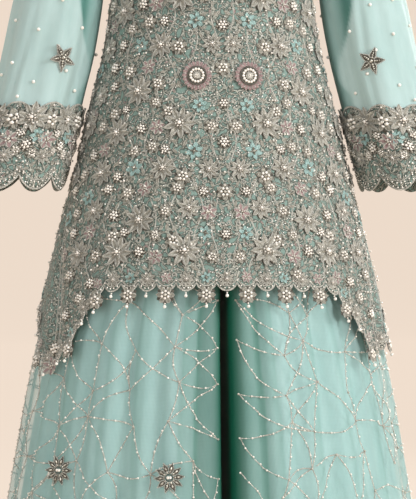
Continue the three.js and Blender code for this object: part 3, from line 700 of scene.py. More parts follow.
def thread_finish(name, dark, light, gloss=0.42):
    """Couched thread: fine slanted ridges with painted shade where the stitches sink, and random patches of
    tone.
    """
    f = Finish(name, light, 0.5, Sheen_Weight=0.2, Sheen_Roughness=0.4)
    place = f.chart("Object")
    strands = f.wave(place, "DIAGONAL", 620.0, Distortion=2.0, Detail=1.0)
    patches = f.noise(place, 160.0, 3)
    # Painted shade in the grooves between stitches, mixed with random patches of tone
    f.set("Base Color", f.blend((strands * 0.6 + patches * 0.9).between(0.3, 1.0), dark, light))
    f.set("Roughness", gloss + 0.2 * patches)
    f.bump(strands, 0.0006, 0.8)
    return f.material


def pearl_finish():
    f = Finish("pearl", PEARL, 0.2, Coat_Weight=0.6, Coat_Roughness=0.1)
    shade = f.noise(f.chart("Object"), 160.0, 2)
    f.set("Base Color", f.blend(shade, colour(228, 216, 200), colour(252, 248, 240)))
    f.set("Roughness", 0.16 + 0.16 * shade)
    return f.material


def silver_finish():
    f = Finish("silver_beads", THREAD, 0.3, Metallic=0.6)
    shade = f.noise(f.chart("Object"), 300.0, 3)
    f.set("Base Color", f.blend(shade.between(0.3, 0.7), colour(120, 112, 98), colour(240, 234, 220)))
    f.set("Roughness", 0.18 + 0.25 * shade)
    f.bump(shade, 0.0005, 0.6)
    return f.material


NET = embroidered_net()
# The last colour of each is for two layers and for painted shade: inside the sleeve's turned-back front and
# between the legs
ORGANZA = sheer("organza", 0.68, colour(202, 226, 223), colour(164, 198, 193), colour(88, 134, 124), 210.0)
LEG_NET = sheer("leg_net", 0.4, colour(200, 226, 222), colour(160, 196, 192), colour(30, 110, 86), 160.0)
SATIN = satin()
TRIMS = [
    thread_finish("beige_thread", THREAD_DARK, THREAD),
    thread_finish("shaded_thread", colour(92, 88, 75), colour(200, 194, 178), 0.5),
    thread_finish("rose_thread", colour(124, 98, 96), colour(192, 162, 158)),
    thread_finish("aqua_thread", colour(120, 158, 150), colour(192, 220, 213)),
    pearl_finish(),
    silver_finish(),
    # The dark finish is the own colour of dark beads and rings, and the painted shade of the discs under
    # motifs
    thread_finish("dark_thread_and_painted_shade", colour(46, 46, 40), colour(112, 106, 92)),
]
BEIGE, SHADED, ROSY, MINT, PEARLY, METAL, DARK = range(len(TRIMS))


# Embroidered motifs

# A petal's cross section, as a share of its half width and of its rise, and the strips that are its edge
PETAL = ((-1, -0.78, -0.4, 0, 0.4, 0.78, 1), (0, 1, 0.5, 0.3, 0.5, 1, 0), (0, 1, 4, 5))
SMALL_PETAL = ((-1, -0.6, 0, 0.6, 1), (0, 1, 0.3, 1, 0), (0, 3))


def petal(start, length, width, rise, angle, edge, fill, pointed=True, lift=0.0, centre=(0, 0),
          profile=PETAL):
    """One padded petal with a corded edge, its tip lifted, as (vertices, faces, slot) parts."""
    across, heights, edges = profile
    rows = 5 if profile is PETAL else 4
    s = np.linspace(0, 1, rows)[:, None]
    shape = np.sin(np.pi * np.clip(s, 0.02, 0.98) ** 0.9) ** (0.8 if pointed else 0.5)
    x = width * shape * np.array(across)[None, :]
    y = start + length * s + 0 * x
    h = rise * np.array(heights)[None, :] * np.clip(shape, 0.5, 1) + lift * s**2
    c, d = math.cos(angle), math.sin(angle)
    vertices = np.stack([x * c - y * d + centre[0], x * d + y * c + centre[1], h], -1).reshape(-1, 3)
    columns = len(across)
    ids = np.arange(columns * rows).reshape(rows, columns)
    quads = grid_cells(ids)[..., [0, 3, 2, 1]]
    inside = [k for k in range(columns - 1) if k not in edges]
    return [(vertices, quads[:, list(edges)].reshape(-1, 4), edge),
            (vertices, quads[:, inside].reshape(-1, 4), fill)]


def ball(x, y, h, radius, slot, shape=BEAD_SHAPE):
    vertices, faces = shape
    return [(vertices * radius + np.array([x, y, h]), faces, slot)]


def ring(count, radius, h, bead, slot, shape=BEAD_SHAPE):
    """Beads on a circle."""
    parts = []
    for k in range(count):
        a = 2 * math.pi * k / count
        parts += ball(radius * math.cos(a), radius * math.sin(a), h, bead, slot, shape)
    return parts


def merged(parts):
    """Joins a motif's parts that have the same slot and kind of face."""
    groups = {}
    for vertices, faces, slot in parts:
        groups.setdefault((slot, faces.shape[1]), []).append((vertices, faces))
    out = []
    for (slot, _), members in groups.items():
        shift = np.cumsum([0] + [len(v) for v, _ in members[:-1]])
        out.append((np.concatenate([v for v, _ in members]),
                    np.concatenate([f + n for (_, f), n in zip(members, shift)]), slot))
    return out


def whorl(count, start, length, width, rise, edge, fill, pointed=True, turned=0.0, lift=1.0,
          profile=PETAL):
    """Petals in a circle."""
    parts = []
    for k in range(count):
        angle = turned + 2 * math.pi * k / count
        parts += petal(start, length, width, rise, angle, edge, fill, pointed, lift, profile=profile)
    return parts


def curl(turns, radius, width, rise, slot):
    """A comma of couched cord, coiling in from its tail."""
    s = np.linspace(0, 1, 7)
    a = turns * 2 * math.pi * s
    r = radius * (1 - 0.8 * s)
    x, y = r * np.cos(a), r * np.sin(a)
    tx, ty = np.gradient(x), np.gradient(y)
    size = np.hypot(tx, ty)
    nx, ny = -ty / size, tx / size
    rows = [np.stack([x + k * width * nx, y + k * width * ny, 0 * x + h * rise], -1)
            for k, h in ((-1, 0), (-0.5, 1), (0.5, 1), (1, 0))]
    ids = np.arange(len(s) * len(rows)).reshape(len(s), -1)
    return [(np.stack(rows, 1).reshape(-1, 3), grid_cells(ids).reshape(-1, 4), slot)]


def painted_shade_disc(count, radius):
    """A flat dark disc with a scalloped outline under a motif: painted shade between its petals."""
    a = np.linspace(0, 2 * math.pi, 2 * count, endpoint=False)
    r = radius * np.where(np.arange(2 * count) % 2, 0.78, 1.0)
    rim = np.stack([r * np.cos(a), r * np.sin(a), np.full(2 * count, 0.15)], -1)
    vertices = np.concatenate([rim, [(0.0, 0.0, 0.7)]])
    ids = np.arange(2 * count)
    faces = np.stack([ids, np.roll(ids, -1), np.full(2 * count, 2 * count)], -1)
    return [(vertices, faces, DARK)]


def leaf_flower():
    parts = painted_shade_disc(9, 18.0) + whorl(9, 3, 17, 4.3, 2.8, BEIGE, SHADED, lift=3.0)
    parts += whorl(5, 1, 8, 2.8, 4.4, BEIGE, SHADED, profile=SMALL_PETAL)
    return merged(parts + ring(7, 4.2, 4.4, 1.4, PEARLY, CUT_SHAPE) + ball(0, 0, 4.6, 2.8, PEARLY))


def rose():
    parts = whorl(6, 2, 9, 4.4, 1.9, BEIGE, ROSY, False, lift=1.6) + ring(5, 3.2, 2.2, 1.2, PEARLY, CUT_SHAPE)
    return merged(parts + ball(0, 0, 2.2, 1.9, METAL))


def mint():
    parts = whorl(6, 2, 9, 3.1, 1.8, MINT, MINT, False, lift=1.6)
    parts += whorl(4, 0, 5, 1.4, 2.8, SHADED, SHADED, profile=SMALL_PETAL)
    return merged(parts + ball(0, 0, 2.4, 1.6, METAL))


def cluster():
    parts = painted_shade_disc(7, 12.0) + ring(9, 8.4, 1.4, 1.7, METAL, CUT_SHAPE) + ring(6, 5.0, 2.2, 2.3, PEARLY)
    parts += whorl(8, 7, 5, 1.7, 1.4, BEIGE, SHADED, turned=0.2, profile=SMALL_PETAL)
    return merged(parts + ball(0, 0, 3.0, 2.6, PEARLY))


def bud():
    parts = petal(-2, 10, 2.8, 1.6, 0, BEIGE, ROSY, profile=SMALL_PETAL)
    for side in (1, -1):
        parts += petal(-4, 8, 1.8, 1.3, 0.7 * side, BEIGE, SHADED, profile=SMALL_PETAL)
    return merged(parts)


def sprig():
    parts = []
    for x, y, a in ((0, 1, 0), (1.5, -2, -0.9), (-1.5, -2, 0.9)):
        parts += petal(0, 7, 2.0, 1.6, a, BEIGE, SHADED, True, 0.8, (x, y), SMALL_PETAL)
    return merged(parts + ball(0, -3.5, 1.4, 1.5, PEARLY, CUT_SHAPE))


def pendant():
    parts = painted_shade_disc(6, 11.5) + whorl(6, 3, 8, 3.4, 1.9, BEIGE, SHADED, lift=1.4, profile=SMALL_PETAL)
    parts += ring(6, 4.2, 2.4, 1.9, PEARLY)
    return merged(parts + ball(0, 0, 2.6, 2.3, METAL))


# Each motif with its radius
MOTIFS = {
    "leaf_flower": (leaf_flower(), 20),
    "rose": (rose(), 11),
    "mint": (mint(), 11),
    "cluster": (cluster(), 12),
    "pendant": (pendant(), 11),
    "leaf": (merged(petal(-6, 12, 3.0, 1.7, 0, BEIGE, SHADED, lift=1.0, profile=SMALL_PETAL)), 6),
    "bud": (bud(), 8),
    "sprig": (sprig(), 7),
    "curl": (merged(curl(1.1, 5.5, 1.3, 1.3, BEIGE)), 6),
    "back_curl": (merged(curl(-1.1, 5.5, 1.3, 1.3, BEIGE)), 6),
}
KINDS = list(MOTIFS)
SMALL_KINDS = ("leaf", "curl", "leaf", "sprig", "curl", "leaf", "leaf", "bud")
MIRRORED = {"curl": "back_curl", "back_curl": "curl"}

# The peplum's rows of motifs: where they start and end, and one repeat of them. Each motif has its way down
# from the repeat's start, its distance from the centre line, its kind and its size.
ROWS_FROM, ROWS_TO, REPEAT = 294, 880, 186
MOTIF_ROWS = [
    (0, 24, "pendant", 11), (0, 61, "leaf_flower", 22), (2, 100, "rose", 11), (8, 127, "cluster", 11),
    (4, 163, "leaf_flower", 20), (0, 198, "pendant", 12), (6, 232, "leaf_flower", 19), (4, 268, "rose", 11),
    (31, 0, "cluster", 10), (36, 40, "mint", 12), (33, 82, "cluster", 9), (36, 110, "pendant", 11),
    (40, 140, "pendant", 11), (34, 184, "rose", 11), (40, 214, "cluster", 10), (36, 250, "pendant", 12),
    (64, 17, "leaf_flower", 15), (70, 62, "pendant", 12), (66, 93, "leaf_flower", 19),
    (70, 130, "mint", 12), (72, 162, "cluster", 11), (66, 196, "leaf_flower", 18), (72, 232, "pendant", 11),
    (68, 266, "leaf_flower", 18), (97, 0, "pendant", 12), (100, 36, "cluster", 10), (98, 66, "pendant", 11),
    (102, 118, "rose", 11), (104, 150, "pendant", 12), (102, 180, "cluster", 11), (104, 222, "mint", 11),
    (102, 256, "cluster", 10), (128, 24, "rose", 12), (130, 56, "leaf_flower", 18),
    (130, 92, "pendant", 11), (134, 128, "leaf_flower", 20), (132, 170, "cluster", 10),
    (134, 202, "leaf_flower", 18), (132, 240, "pendant", 10), (134, 272, "mint", 11),
    (158, 0, "cluster", 10), (160, 32, "mint", 10), (162, 78, "pendant", 12), (160, 104, "pendant", 10),
    (164, 150, "cluster", 9), (162, 176, "pendant", 12), (164, 216, "rose", 11), (160, 250, "cluster", 11),
]
PEPLUM_BEADS = 1300
LEAF_SIZE = 5.4
LEAF_TRIES = {"front": 3600, "back": 1900}
# Where leaves may lie on half a panel: from the centre line out, and down
LEAF_BOUNDS = (0, 330, 266, 870)
ROSETTE = {"across": 38.3, "down": 408, "radius": 22}
SCALLOPS = {"front": 21, "back": 33, "depth": 11}
# The rows of beads along the hem's scallops: how far above the edge, their radius and finish
HEM_ROWS = ((4.6, 1.4, PEARLY), (11.0, 1.1, METAL))
# The peplum's cloth starts this far below the underbust seam
PEPLUM_GAP = 0.3


def hem_down(angle):
    return read(PEPLUM_HEM, "angle", "down", turn(0, angle))


def seam_limit(down, back):
    """How far a panel reaches from its centre line, in degrees."""
    seam = read(SIDE_SEAM, "down", "angle", down)
    return 180 - seam if back else seam


def peplum_places(surface, back):
    """The motifs of one panel, each by kind, angle, down, size and distance from its centre line."""
    start = 180 if back else 0
    rng = np.random.default_rng(17)
    rows = []
    for first in range(ROWS_FROM, ROWS_TO, REPEAT):
        for down, across, kind, size in MOTIF_ROWS:
            aside = rng.uniform(-6, 6) if across else 0
            lower, larger = rng.uniform(-8, 8), rng.uniform(0.96, 1.16)
            for side in ((1, -1) if across else (1,)):
                rows.append((kind, side * (across + aside), first + down + lower, size * larger))
    for kind, across, down, size in list(rows):
        near = math.hypot(abs(across) - ROSETTE["across"], down - ROSETTE["down"])
        if not back and near < ROSETTE["radius"] + size:
            rows.remove((kind, across, down, size))
    kept = []
    for kind, across, down, size in rows:
        angle = float(surface.across(across, down, start)[0])
        off = abs(turn(start, angle))
        room = size / surface.stretch(angle, down)
        if off <= seam_limit(down, back) - room * 0.9 and down <= hem_down(angle) - size - 2:
            kept.append((kind, angle, down, size, across))
    return kept


def fill_leaves(taken, inside, seed, count):
    """Leaves, curls and sprigs thrown into the spaces that are left, the same on both halves."""
    rng = np.random.default_rng(seed)
    circles = np.zeros((len(taken) + count, 3))
    circles[:len(taken)] = taken
    used = len(taken)
    out = []
    for _ in range(count):
        x, d = rng.uniform(*LEAF_BOUNDS[:2]), rng.uniform(*LEAF_BOUNDS[2:])
        kind = SMALL_KINDS[rng.integers(len(SMALL_KINDS))]
        size, spin = LEAF_SIZE * rng.uniform(0.85, 1.15), rng.uniform(0, 2 * math.pi)
        near = circles[:used]
        apart = (x - near[:, 0]) ** 2 + (d - near[:, 1]) ** 2
        if x < size * 0.7 or np.any(apart < (0.8 * (size + near[:, 2])) ** 2) or not inside(x, d, size):
            continue
        circles[used] = x, d, size
        used += 1
        out.append((kind, x, d, size, spin))
        out.append((MIRRORED.get(kind, kind), -x, d, size, -spin))
    return out


def embroider(trim, surface, placed, spins):
    """Copies each kind of motif to its places."""
    for kind in KINDS:
        rows = [(a, b, size, spin) for (k, a, b, size), spin in zip(placed, spins) if k == kind]
        if rows:
            a, b, size, spin = np.array(rows).T
            trim.scatter(surface, MOTIFS[kind][0], a, b, size / MOTIFS[kind][1], spin)


def sprinkle(trim, surface, a, b, seed):
    """Small pearls and cut beads sewn on at the given places."""
    rng = np.random.default_rng(seed)
    size = rng.uniform(0.9, 1.9, len(a))
    pearly = rng.random(len(a)) < 0.55
    trim.beads(surface, a[pearly], b[pearly], size[pearly], BEAD_SHAPE, PEARLY, 1.5)
    trim.beads(surface, a[~pearly], b[~pearly], size[~pearly], CUT_SHAPE, METAL, 1.3)


# Stems that climb beside the flowers: away from the centre line, where they start and end, and their swing
STEMS = [
    (12, 300, 420, 5), (44, 330, 520, 7), (78, 290, 450, 8), (112, 320, 560, 7), (146, 420, 640, 8),
    (180, 520, 760, 7), (12, 440, 560, 6), (40, 560, 700, 7), (74, 480, 690, 8), (108, 590, 700, 6),
    (214, 600, 800, 6), (16, 590, 690, 5), (146, 300, 400, 6), (150, 650, 720, 6),
]


def stems(trim, surface, start, back):
    """Couched stems that swing from side to side as they climb."""
    for across, top, low, swing in STEMS:
        down = np.arange(top, low, 5.0)
        for side in (1, -1):
            a = surface.across(side * (across + swing * np.sin(down / 15 + across)), down, start)
            kept = (np.abs(turn(start, a)) < seam_limit(down, back) - 3) & (down < hem_down(a) - 14)
            if np.count_nonzero(kept) > 8:
                trim.cord(surface, a[kept], down[kept], 1.1, BEIGE)


# The top


def panel_rows(back, per_scallop, rows=46):
    """Parameters of a peplum panel's mesh, from the underbust seam to the scalloped hem."""
    count = SCALLOPS["back" if back else "front"]
    t = np.linspace(0, 1, count * per_scallop + 1)[None, :]
    share = np.linspace(0, 1, rows)[:, None] ** 0.94
    top = EMPIRE_SEAM_DOWN + PEPLUM_GAP
    down = top + 0 * t + 0 * share
    for _ in range(14):
        seam = read(SIDE_SEAM, "down", "angle", down)
        angle = seam + (360 - 2 * seam) * t if back else -seam + 2 * seam * t
        down = top + (hem_down(angle) - EMPIRE_SEAM_DOWN - PEPLUM_GAP) * share
    lobe = SCALLOPS["depth"] * np.abs(np.sin(np.pi * count * t)) ** 0.7
    return angle, down + lobe * np.clip((share - 0.93) / 0.07, 0, 1)


def peplum_motifs(trim, surface, start, back):
    """Rows of flowers and the leaves between them, alike on both halves of a panel."""
    rows = peplum_places(surface, back)
    spins = [0.2 * math.copysign(1, x) if x else 0.0 for *_, x in rows]

    def inside(x, d, size):
        a = float(surface.across(x, d, start)[0])
        room = size / surface.stretch(a, d)
        within = abs(turn(start, a)) < seam_limit(d, back) - room
        return within and 268 + size < d < hem_down(a) - size - 3

    taken = [(abs(x), d, size) for _, _, d, size, x in rows]
    if not back:
        taken.append((ROSETTE["across"], ROSETTE["down"], ROSETTE["radius"] + 2))
    leaves = fill_leaves(taken, inside, 11 + back, LEAF_TRIES["back" if back else "front"])
    placed = [row[:4] for row in rows]
    for kind, x, d, size, spin in leaves:
        placed.append((kind, float(surface.across(x, d, start)[0]), d, size))
        spins.append(spin)
    embroider(trim, surface, placed, spins)


def peplum(back):
    """One panel of the peplum with its embroidery, from the underbust seam to the hem."""
    name = "peplum_back" if back else "peplum_front"
    start = 180 if back else 0
    reach = (50, 310) if back else (-100, 100)
    surface = grid_surface(peplum_point, np.linspace(*reach, 601), np.linspace(258, 892, 260), (0, 0, -600))
    angle, down = panel_rows(back, per_scallop=5 if back else 6)
    sheet = cloth(name + "_net", surface, angle, down)
    dress(sheet, NET, name, EMBROIDERED)
    trim = Trimming(name + "_embroidery")
    peplum_motifs(trim, surface, start, back)
    stems(trim, surface, start, back)
    rng = np.random.default_rng(23 + back)
    t, s = rng.random(PEPLUM_BEADS), rng.random(PEPLUM_BEADS) ** 0.8
    column = (t * (angle.shape[1] - 1)).astype(int)
    row = (s * (angle.shape[0] - 2)).astype(int)
    sprinkle(trim, surface, angle[row, column], down[row, column], 3 + back)
    border(trim, surface, back)
    sewn = [trim.build()]
    if not back:
        sewn += [tip_flower(surface)] + rosettes(surface)


def border(trim, surface, back):
    """Corded and beaded edges along the side seams and the scalloped hem, with its hanging flowers."""
    steps = 10
    angle, down = panel_rows(back, rows=40, per_scallop=steps)
    hem_a, hem_d = angle[-1], down[-1]
    trim.cord(surface, hem_a, hem_d - 1.2, 1.3, BEIGE)
    trim.cord(surface, hem_a, hem_d - 8, 1.0, BEIGE)
    pick = np.arange(2, len(hem_a) - 2, 2)
    for offset, radius, slot in HEM_ROWS:
        trim.beads(surface, hem_a[pick], hem_d[pick] - offset, radius, BEAD_SHAPE, slot)
    for column in (2, -3):
        trim.cord(surface, angle[2:, column], down[2:, column], 1.2, BEIGE)
    trim.cord(surface, angle[0], down[0] + 3, 1.3, BEIGE)
    trim.beads(surface, angle[0][pick], down[0][pick] + 7, 1.2, BEAD_SHAPE, PEARLY)
    for k in range(SCALLOPS["back" if back else "front"]):
        a, d = hem_a[steps // 2 + steps * k], hem_d[steps // 2 + steps * k]
        if k % 2:
            trim.scatter(surface, MOTIFS["mint" if k % 4 == 1 else "rose"][0], [a], [d - 20], 0.75, 0.3)
            trim.scatter(surface, MOTIFS["pendant"][0], [a], [d + 5], 1.25, 0.5)
            drops = np.array([17.5, 22.0])
        else:
            trim.scatter(surface, MOTIFS["leaf_flower"][0], [a], [d - 18], 0.6, 0.3)
            drops = np.array([2.5, 6.5])
        trim.beads(surface, np.full(2, a), d + drops, np.array([1.3, 2.6]), PEARL_SHAPE, PEARLY)


def tip_flower(surface):
    """The rose flower that ends the right side point."""
    trim = Trimming("side_point_flower")
    trim.scatter(surface, MOTIFS["rose"][0], [-64.5], [838], 1.3, 0.3)
    trim.scatter(surface, MOTIFS["cluster"][0], [-64.5], [812], 1.2, 0.3)
    return trim.build()


# The bodice's rows of motifs: how far up each lies, and its kinds from the centre to the side
BODICE_ROWS = [
    (0.13, ("leaf_flower", "rose", "leaf_flower", "mint")),
    (0.3, ("rose", "mint", "cluster", "rose", "mint")),
    (0.47, ("leaf_flower", "rose", "leaf_flower")),
    (0.64, ("mint", "rose", "cluster", "mint")),
    (0.8, ("leaf_flower", "rose", "mint")),
]
BODICE_SIZES = {"leaf_flower": 17, "cluster": 9, "rose": 11, "mint": 11}
BODICE_LEAF = {"size": 5.5, "radius": 4.6, "apart": 3.4}
BODICE_MIDDLE = (0, 0, -150)
BODICE_BEADS = 260


def bodice_surface(half):
    """The whole front or back of the bodice: its left half and that half's mirror image."""
    share = np.linspace(0, 1, 161), np.linspace(0, 1, 121)
    left = grid_surface(lambda u, v: bodice_point(u, v, half), *share, BODICE_MIDDLE)
    both = np.concatenate([(left.points * MIRROR)[:, :0:-1], left.points], axis=1)
    return Surface(both, np.linspace(-1, 1, both.shape[1]), left.b, BODICE_MIDDLE)


def bodice_motifs(trim, surface, rng):
    """Rows of flowers, and leaves on an uneven grid between them, alike on both halves."""
    placed = []
    for height, kinds in BODICE_ROWS:
        places = (np.arange(len(kinds)) + 0.45) / len(kinds) * 0.95
        for x, kind in zip(places, kinds):
            placed += [(kind, x, height, BODICE_SIZES[kind]), (kind, -x, height, BODICE_SIZES[kind])]
    spins = [0.0] * len(placed)
    taken = [(surface.lay(x, y), size) for _, x, y, size in placed[::2]]
    for x in np.linspace(0.04, 0.94, 20):
        for y in np.linspace(0.05, 0.92, 20):
            u, v = x + rng.uniform(-0.02, 0.02), y + rng.uniform(-0.02, 0.02)
            here = surface.lay(u, v)
            kind, spin = SMALL_KINDS[rng.integers(len(SMALL_KINDS))], rng.uniform(0, 2 * math.pi)
            if min(np.linalg.norm(here - spot) - size for spot, size in taken) > BODICE_LEAF["apart"]:
                taken.append((here, BODICE_LEAF["radius"]))
                placed += [(kind, u, v, BODICE_LEAF["size"]),
                           (MIRRORED.get(kind, kind), -u, v, BODICE_LEAF["size"])]
                spins += [spin, -spin]
    embroider(trim, surface, placed, spins)


def bodice(half, name):
    """The front or back of the bodice with its embroidery, above the underbust seam."""
    surface = bodice_surface(half)
    across, up = np.meshgrid(np.linspace(-1, 1, 81), np.linspace(0.002, 1, 41))
    sheet = cloth(name + "_net", surface, across, up)
    dress(sheet, NET, name, EMBROIDERED)
    trim = Trimming(name + "_embroidery")
    edge = np.linspace(-0.97, 0.97, 140)
    trim.cord(surface, edge, 0.992, 1.2, BEIGE)
    trim.beads(surface, edge, 0.972, 1.3, BEAD_SHAPE, PEARLY)
    trim.beads(surface, edge[::2], 0.955, 1.6, BEAD_SHAPE, METAL)
    trim.cord(surface, edge, 0.015, 1.2, BEIGE)
    rng = np.random.default_rng(5)
    bodice_motifs(trim, surface, rng)
    across, up = rng.uniform(-0.95, 0.95, BODICE_BEADS), rng.uniform(0.04, 0.94, BODICE_BEADS)
    sprinkle(trim, surface, across, up, 7)
    trim.build()


CUFF = {"top": 371, "bottom": 468, "lift": 2.7, "lobes": 8, "lobeDepth": 22, "petals": 8, "petalHeight": 12}
# The motifs of one lobe: the share of it from its middle, the place along the sleeve, kind and size
CUFF_MOTIFS = [
    (-0.5, 384, "leaf_flower", 24), (0.0, 386, "pendant", 17), (0.0, 416, "rose", 14),
    (0.27, 406, "cluster", 10), (-0.25, 410, "mint", 11), (0.5, 424, "cluster", 12),
    (0.26, 432, "pendant", 9), (-0.3, 436, "pendant", 9), (0.0, 440, "leaf_flower", 13),
]
CUFF_BEADS = 450
CUFF_LEAF, CUFF_TRIES = 5.2, 700
# The rows of beads along the cuff's lobes: how far above the edge, their radius and finish
CUFF_ROWS = ((4.4, 1.5, PEARLY), (7.8, 1.3, METAL), (11.0, 1.5, PEARLY), (18.0, 1.2, METAL))
# The sleeve's pearls, by angle and place along it
SLEEVE_PEARLS = [
    (62, 196), (96, 206), (30, 232), (128, 246), (72, 250), (100, 276), (46, 300), (118, 312), (80, 330),
    (20, 316), (145, 340), (64, 352), (200, 214), (232, 258), (262, 212), (290, 268), (215, 306), (250, 334),
    (306, 322), (332, 240), (180, 280), (340, 300), (75, 140), (110, 160), (40, 150), (250, 150), (290, 170),
]
# Where the sleeve's front turns back on itself, as an angle for each place along it
TURNED_EDGE = table("along angle", [
    (0, 150), (120, 112), (200, 117), (245, 133), (290, 158), (316, 166), (350, 152), (400, 165), (500, 170),
])


def sleeve_tube(side):
    return grid_surface(sleeve_point, np.linspace(-20, 380, 601), np.linspace(0, 500, 300), flip=side < 0)


def sleeve(word, side):
    """A bell sleeve with its pearls and star, and the cuff over its end."""
    tube = sleeve_tube(side)
    angles, along = np.meshgrid(np.linspace(0, 360, 111), np.linspace(0.8, 392, 56))
    # The turned-back front is darker and closer: partly the second layer of organza and partly painted shade
    # of the sleeve's inside
    past = angles - read(TURNED_EDGE, "along", "angle", along)
    doubled_and_painted_shade = smooth(-3, 4, past) * (1 - smooth(196, 235, angles)) * (0.75 + 0.25 * np.sin(angles / 9))
    sheet = cloth(f"sleeve_{word}_organza", tube, angles, along, closed=True, shade=doubled_and_painted_shade)
    dress(sheet, ORGANZA, f"sleeve_{word}")
    cuff(word, tube)
    pearls = Trimming(f"sleeve_{word}_pearls")
    places = np.array(SLEEVE_PEARLS, float)
    pearls.beads(tube, places[:, 0], places[:, 1], 2.7, PEARL_SHAPE, PEARLY)
    sewn = [pearls.build(), star(word, tube)]


def cuff_motifs(trim, raised, rng):
    """Each lobe's flowers, and leaves thrown into the spaces that are left."""
    placed, spins = [], []
    for lobe in range(CUFF["lobes"]):
        for x, d, kind, size in CUFF_MOTIFS:
            placed.append((kind, (360 * (lobe + 0.5 + x) / CUFF["lobes"]) % 360, d, size))
            spins.append(0.3 * lobe)
    for _ in range(CUFF_TRIES):
        angle, d = rng.uniform(0, 360), rng.uniform(362, 470)
        wide = raised.stretch(angle, d)
        if all(math.hypot(turn(a, angle) * wide, d - b) > 0.78 * (CUFF_LEAF + s) for _, a, b, s in placed):
            placed.append((SMALL_KINDS[rng.integers(len(SMALL_KINDS))], angle, d, CUFF_LEAF))
            spins.append(rng.uniform(0, 2 * math.pi))
    embroider(trim, raised, placed, spins)


def cuff(word, tube):
    """The deep embroidered cuff, with petal tips above and beaded lobes below."""
    t = np.linspace(0, 1, CUFF["lobes"] * 18 + 1)
    share = np.linspace(0, 1, 14)[:, None]
    top = CUFF["top"] - CUFF["petalHeight"] * np.abs(np.sin(np.pi * CUFF["petals"] * t)) ** 1.5
    low = CUFF["bottom"] + CUFF["lobeDepth"] * np.abs(np.sin(np.pi * CUFF["lobes"] * t)) ** 0.8
    levels = top + (low - top) * share
    around = 360 * t
    band = cloth(f"cuff_{word}_net", tube, around + 0 * share, levels, CUFF["lift"] + 0 * levels, closed=True)
    dress(band, NET, f"cuff_{word}", EMBROIDERED)
    raised = tube.raised(CUFF["lift"])
    trim = Trimming(f"cuff_{word}_embroidery")
    rng = np.random.default_rng(31)
    cuff_motifs(trim, raised, rng)
    trim.cord(raised, around, low - 1.2, 1.4, BEIGE)
    trim.cord(raised, around, low - 14.5, 1.1, BEIGE)
    trim.cord(raised, around, top + 1.2, 1.3, BEIGE)
    for offset, radius, slot in CUFF_ROWS:
        trim.beads(raised, around[:-1:2], low[:-1:2] - offset, radius, BEAD_SHAPE, slot)
    sprinkle(trim, raised, rng.uniform(0, 360, CUFF_BEADS), rng.uniform(364, 466, CUFF_BEADS), 9)
    trim.build()


# Ornaments sewn on


def solid(make, finish, **where):
    """A primitive made at its size and place, in one finish."""
    bpy.ops.object.select_all(action="DESELECT")
    make(**where)
    part = bpy.context.object
    part.data.materials.append(TRIMS[finish])
    for face in part.data.polygons:
        face.use_smooth = True
    return part


def bead(x, y, z, radius, finish):
    """A bead, rounder when it is a large one."""
    return solid(bpy.ops.mesh.primitive_ico_sphere_add, finish, subdivisions=2 if radius > 1.8 else 1,
                 radius=radius * MM, location=(x * MM, y * MM, z * MM))


def circle_of_beads(count, radius, z, size, finish):
    angles = [2 * math.pi * k / count for k in range(count)]
    return [bead(radius * math.cos(a), radius * math.sin(a), z, size, finish) for a in angles]


def joined(name, parts):
    """One object of all the parts, with nothing left in its own transform."""
    bpy.ops.object.select_all(action="DESELECT")
    for part in parts:
        part.select_set(True)
    bpy.context.view_layer.objects.active = parts[0]
    bpy.ops.object.join()
    whole = bpy.context.object
    bpy.ops.object.transform_apply(location=True, rotation=True, scale=True)
    whole.name = name
    return whole


def pointed_arm(angle, middle, length, width, inner, rim, cores):
    """One pointed arm: a dark plate, a rim of beads, and silver beads down its middle."""
    c, s = math.cos(angle), math.sin(angle)
    half = length / 2
    plate = solid(bpy.ops.mesh.primitive_cylinder_add, DARK, vertices=4, radius=0.5 * MM, depth=1.0 * MM,
                  location=(middle * c * MM, middle * s * MM, 1.0 * MM), rotation=(0, 0, angle),
                  scale=(length, width, 1.4))
    applied(plate, "BEVEL", width=0.4 * MM, segments=2)
    parts = [plate]
    for x in np.linspace(inner, middle + half - 0.6, 8):
        y = width / 2 * max(0.0, 1 - (abs(x - middle) / half) ** 1.25)
        for side in (1, -1):
            parts.append(bead(x * c - side * y * s, x * s + side * y * c, 1.9, rim, BEIGE))
    for x, reach, radius in cores:
        parts.append(solid(bpy.ops.mesh.primitive_ico_sphere_add, METAL, subdivisions=1, radius=radius * MM,
                           location=(x * c * MM, x * s * MM, 2.5 * MM), rotation=(0, 0, angle),
                           scale=(reach / radius, 1, 1)))
    return parts


def frame_at(surface, a, b, height, spin):
    """Where a flat ornament stands on a surface, its own Z along the normal."""
    a, b = np.array([a], float), np.array([b], float)
    base = surface.lay(a, b, 0.0)[0]
    normal = Vector(surface.lay(a, b, 1.0)[0] - base).normalized()
    up = Vector(surface.lay(a, b - 1.0)[0] - base)
    up = (up - normal * up.dot(normal)).normalized()
    across = up.cross(normal)
    turned = Matrix((across, up, normal)).transposed().to_4x4() @ Matrix.Rotation(spin, 4, "Z")
    return Matrix.Translation((Vector(base) + normal * height) * MM) @ turned


def set_down(master, name, place):
    """A copy of an ornament at its place, left at the origin with its corners moved."""
    piece = master.copy()
    piece.data = master.data.copy()
    piece.name = name + "_sewn"
    bpy.context.scene.collection.objects.link(piece)
    piece.data.transform(place)
    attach(piece, "root")
    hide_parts(name)
    return piece


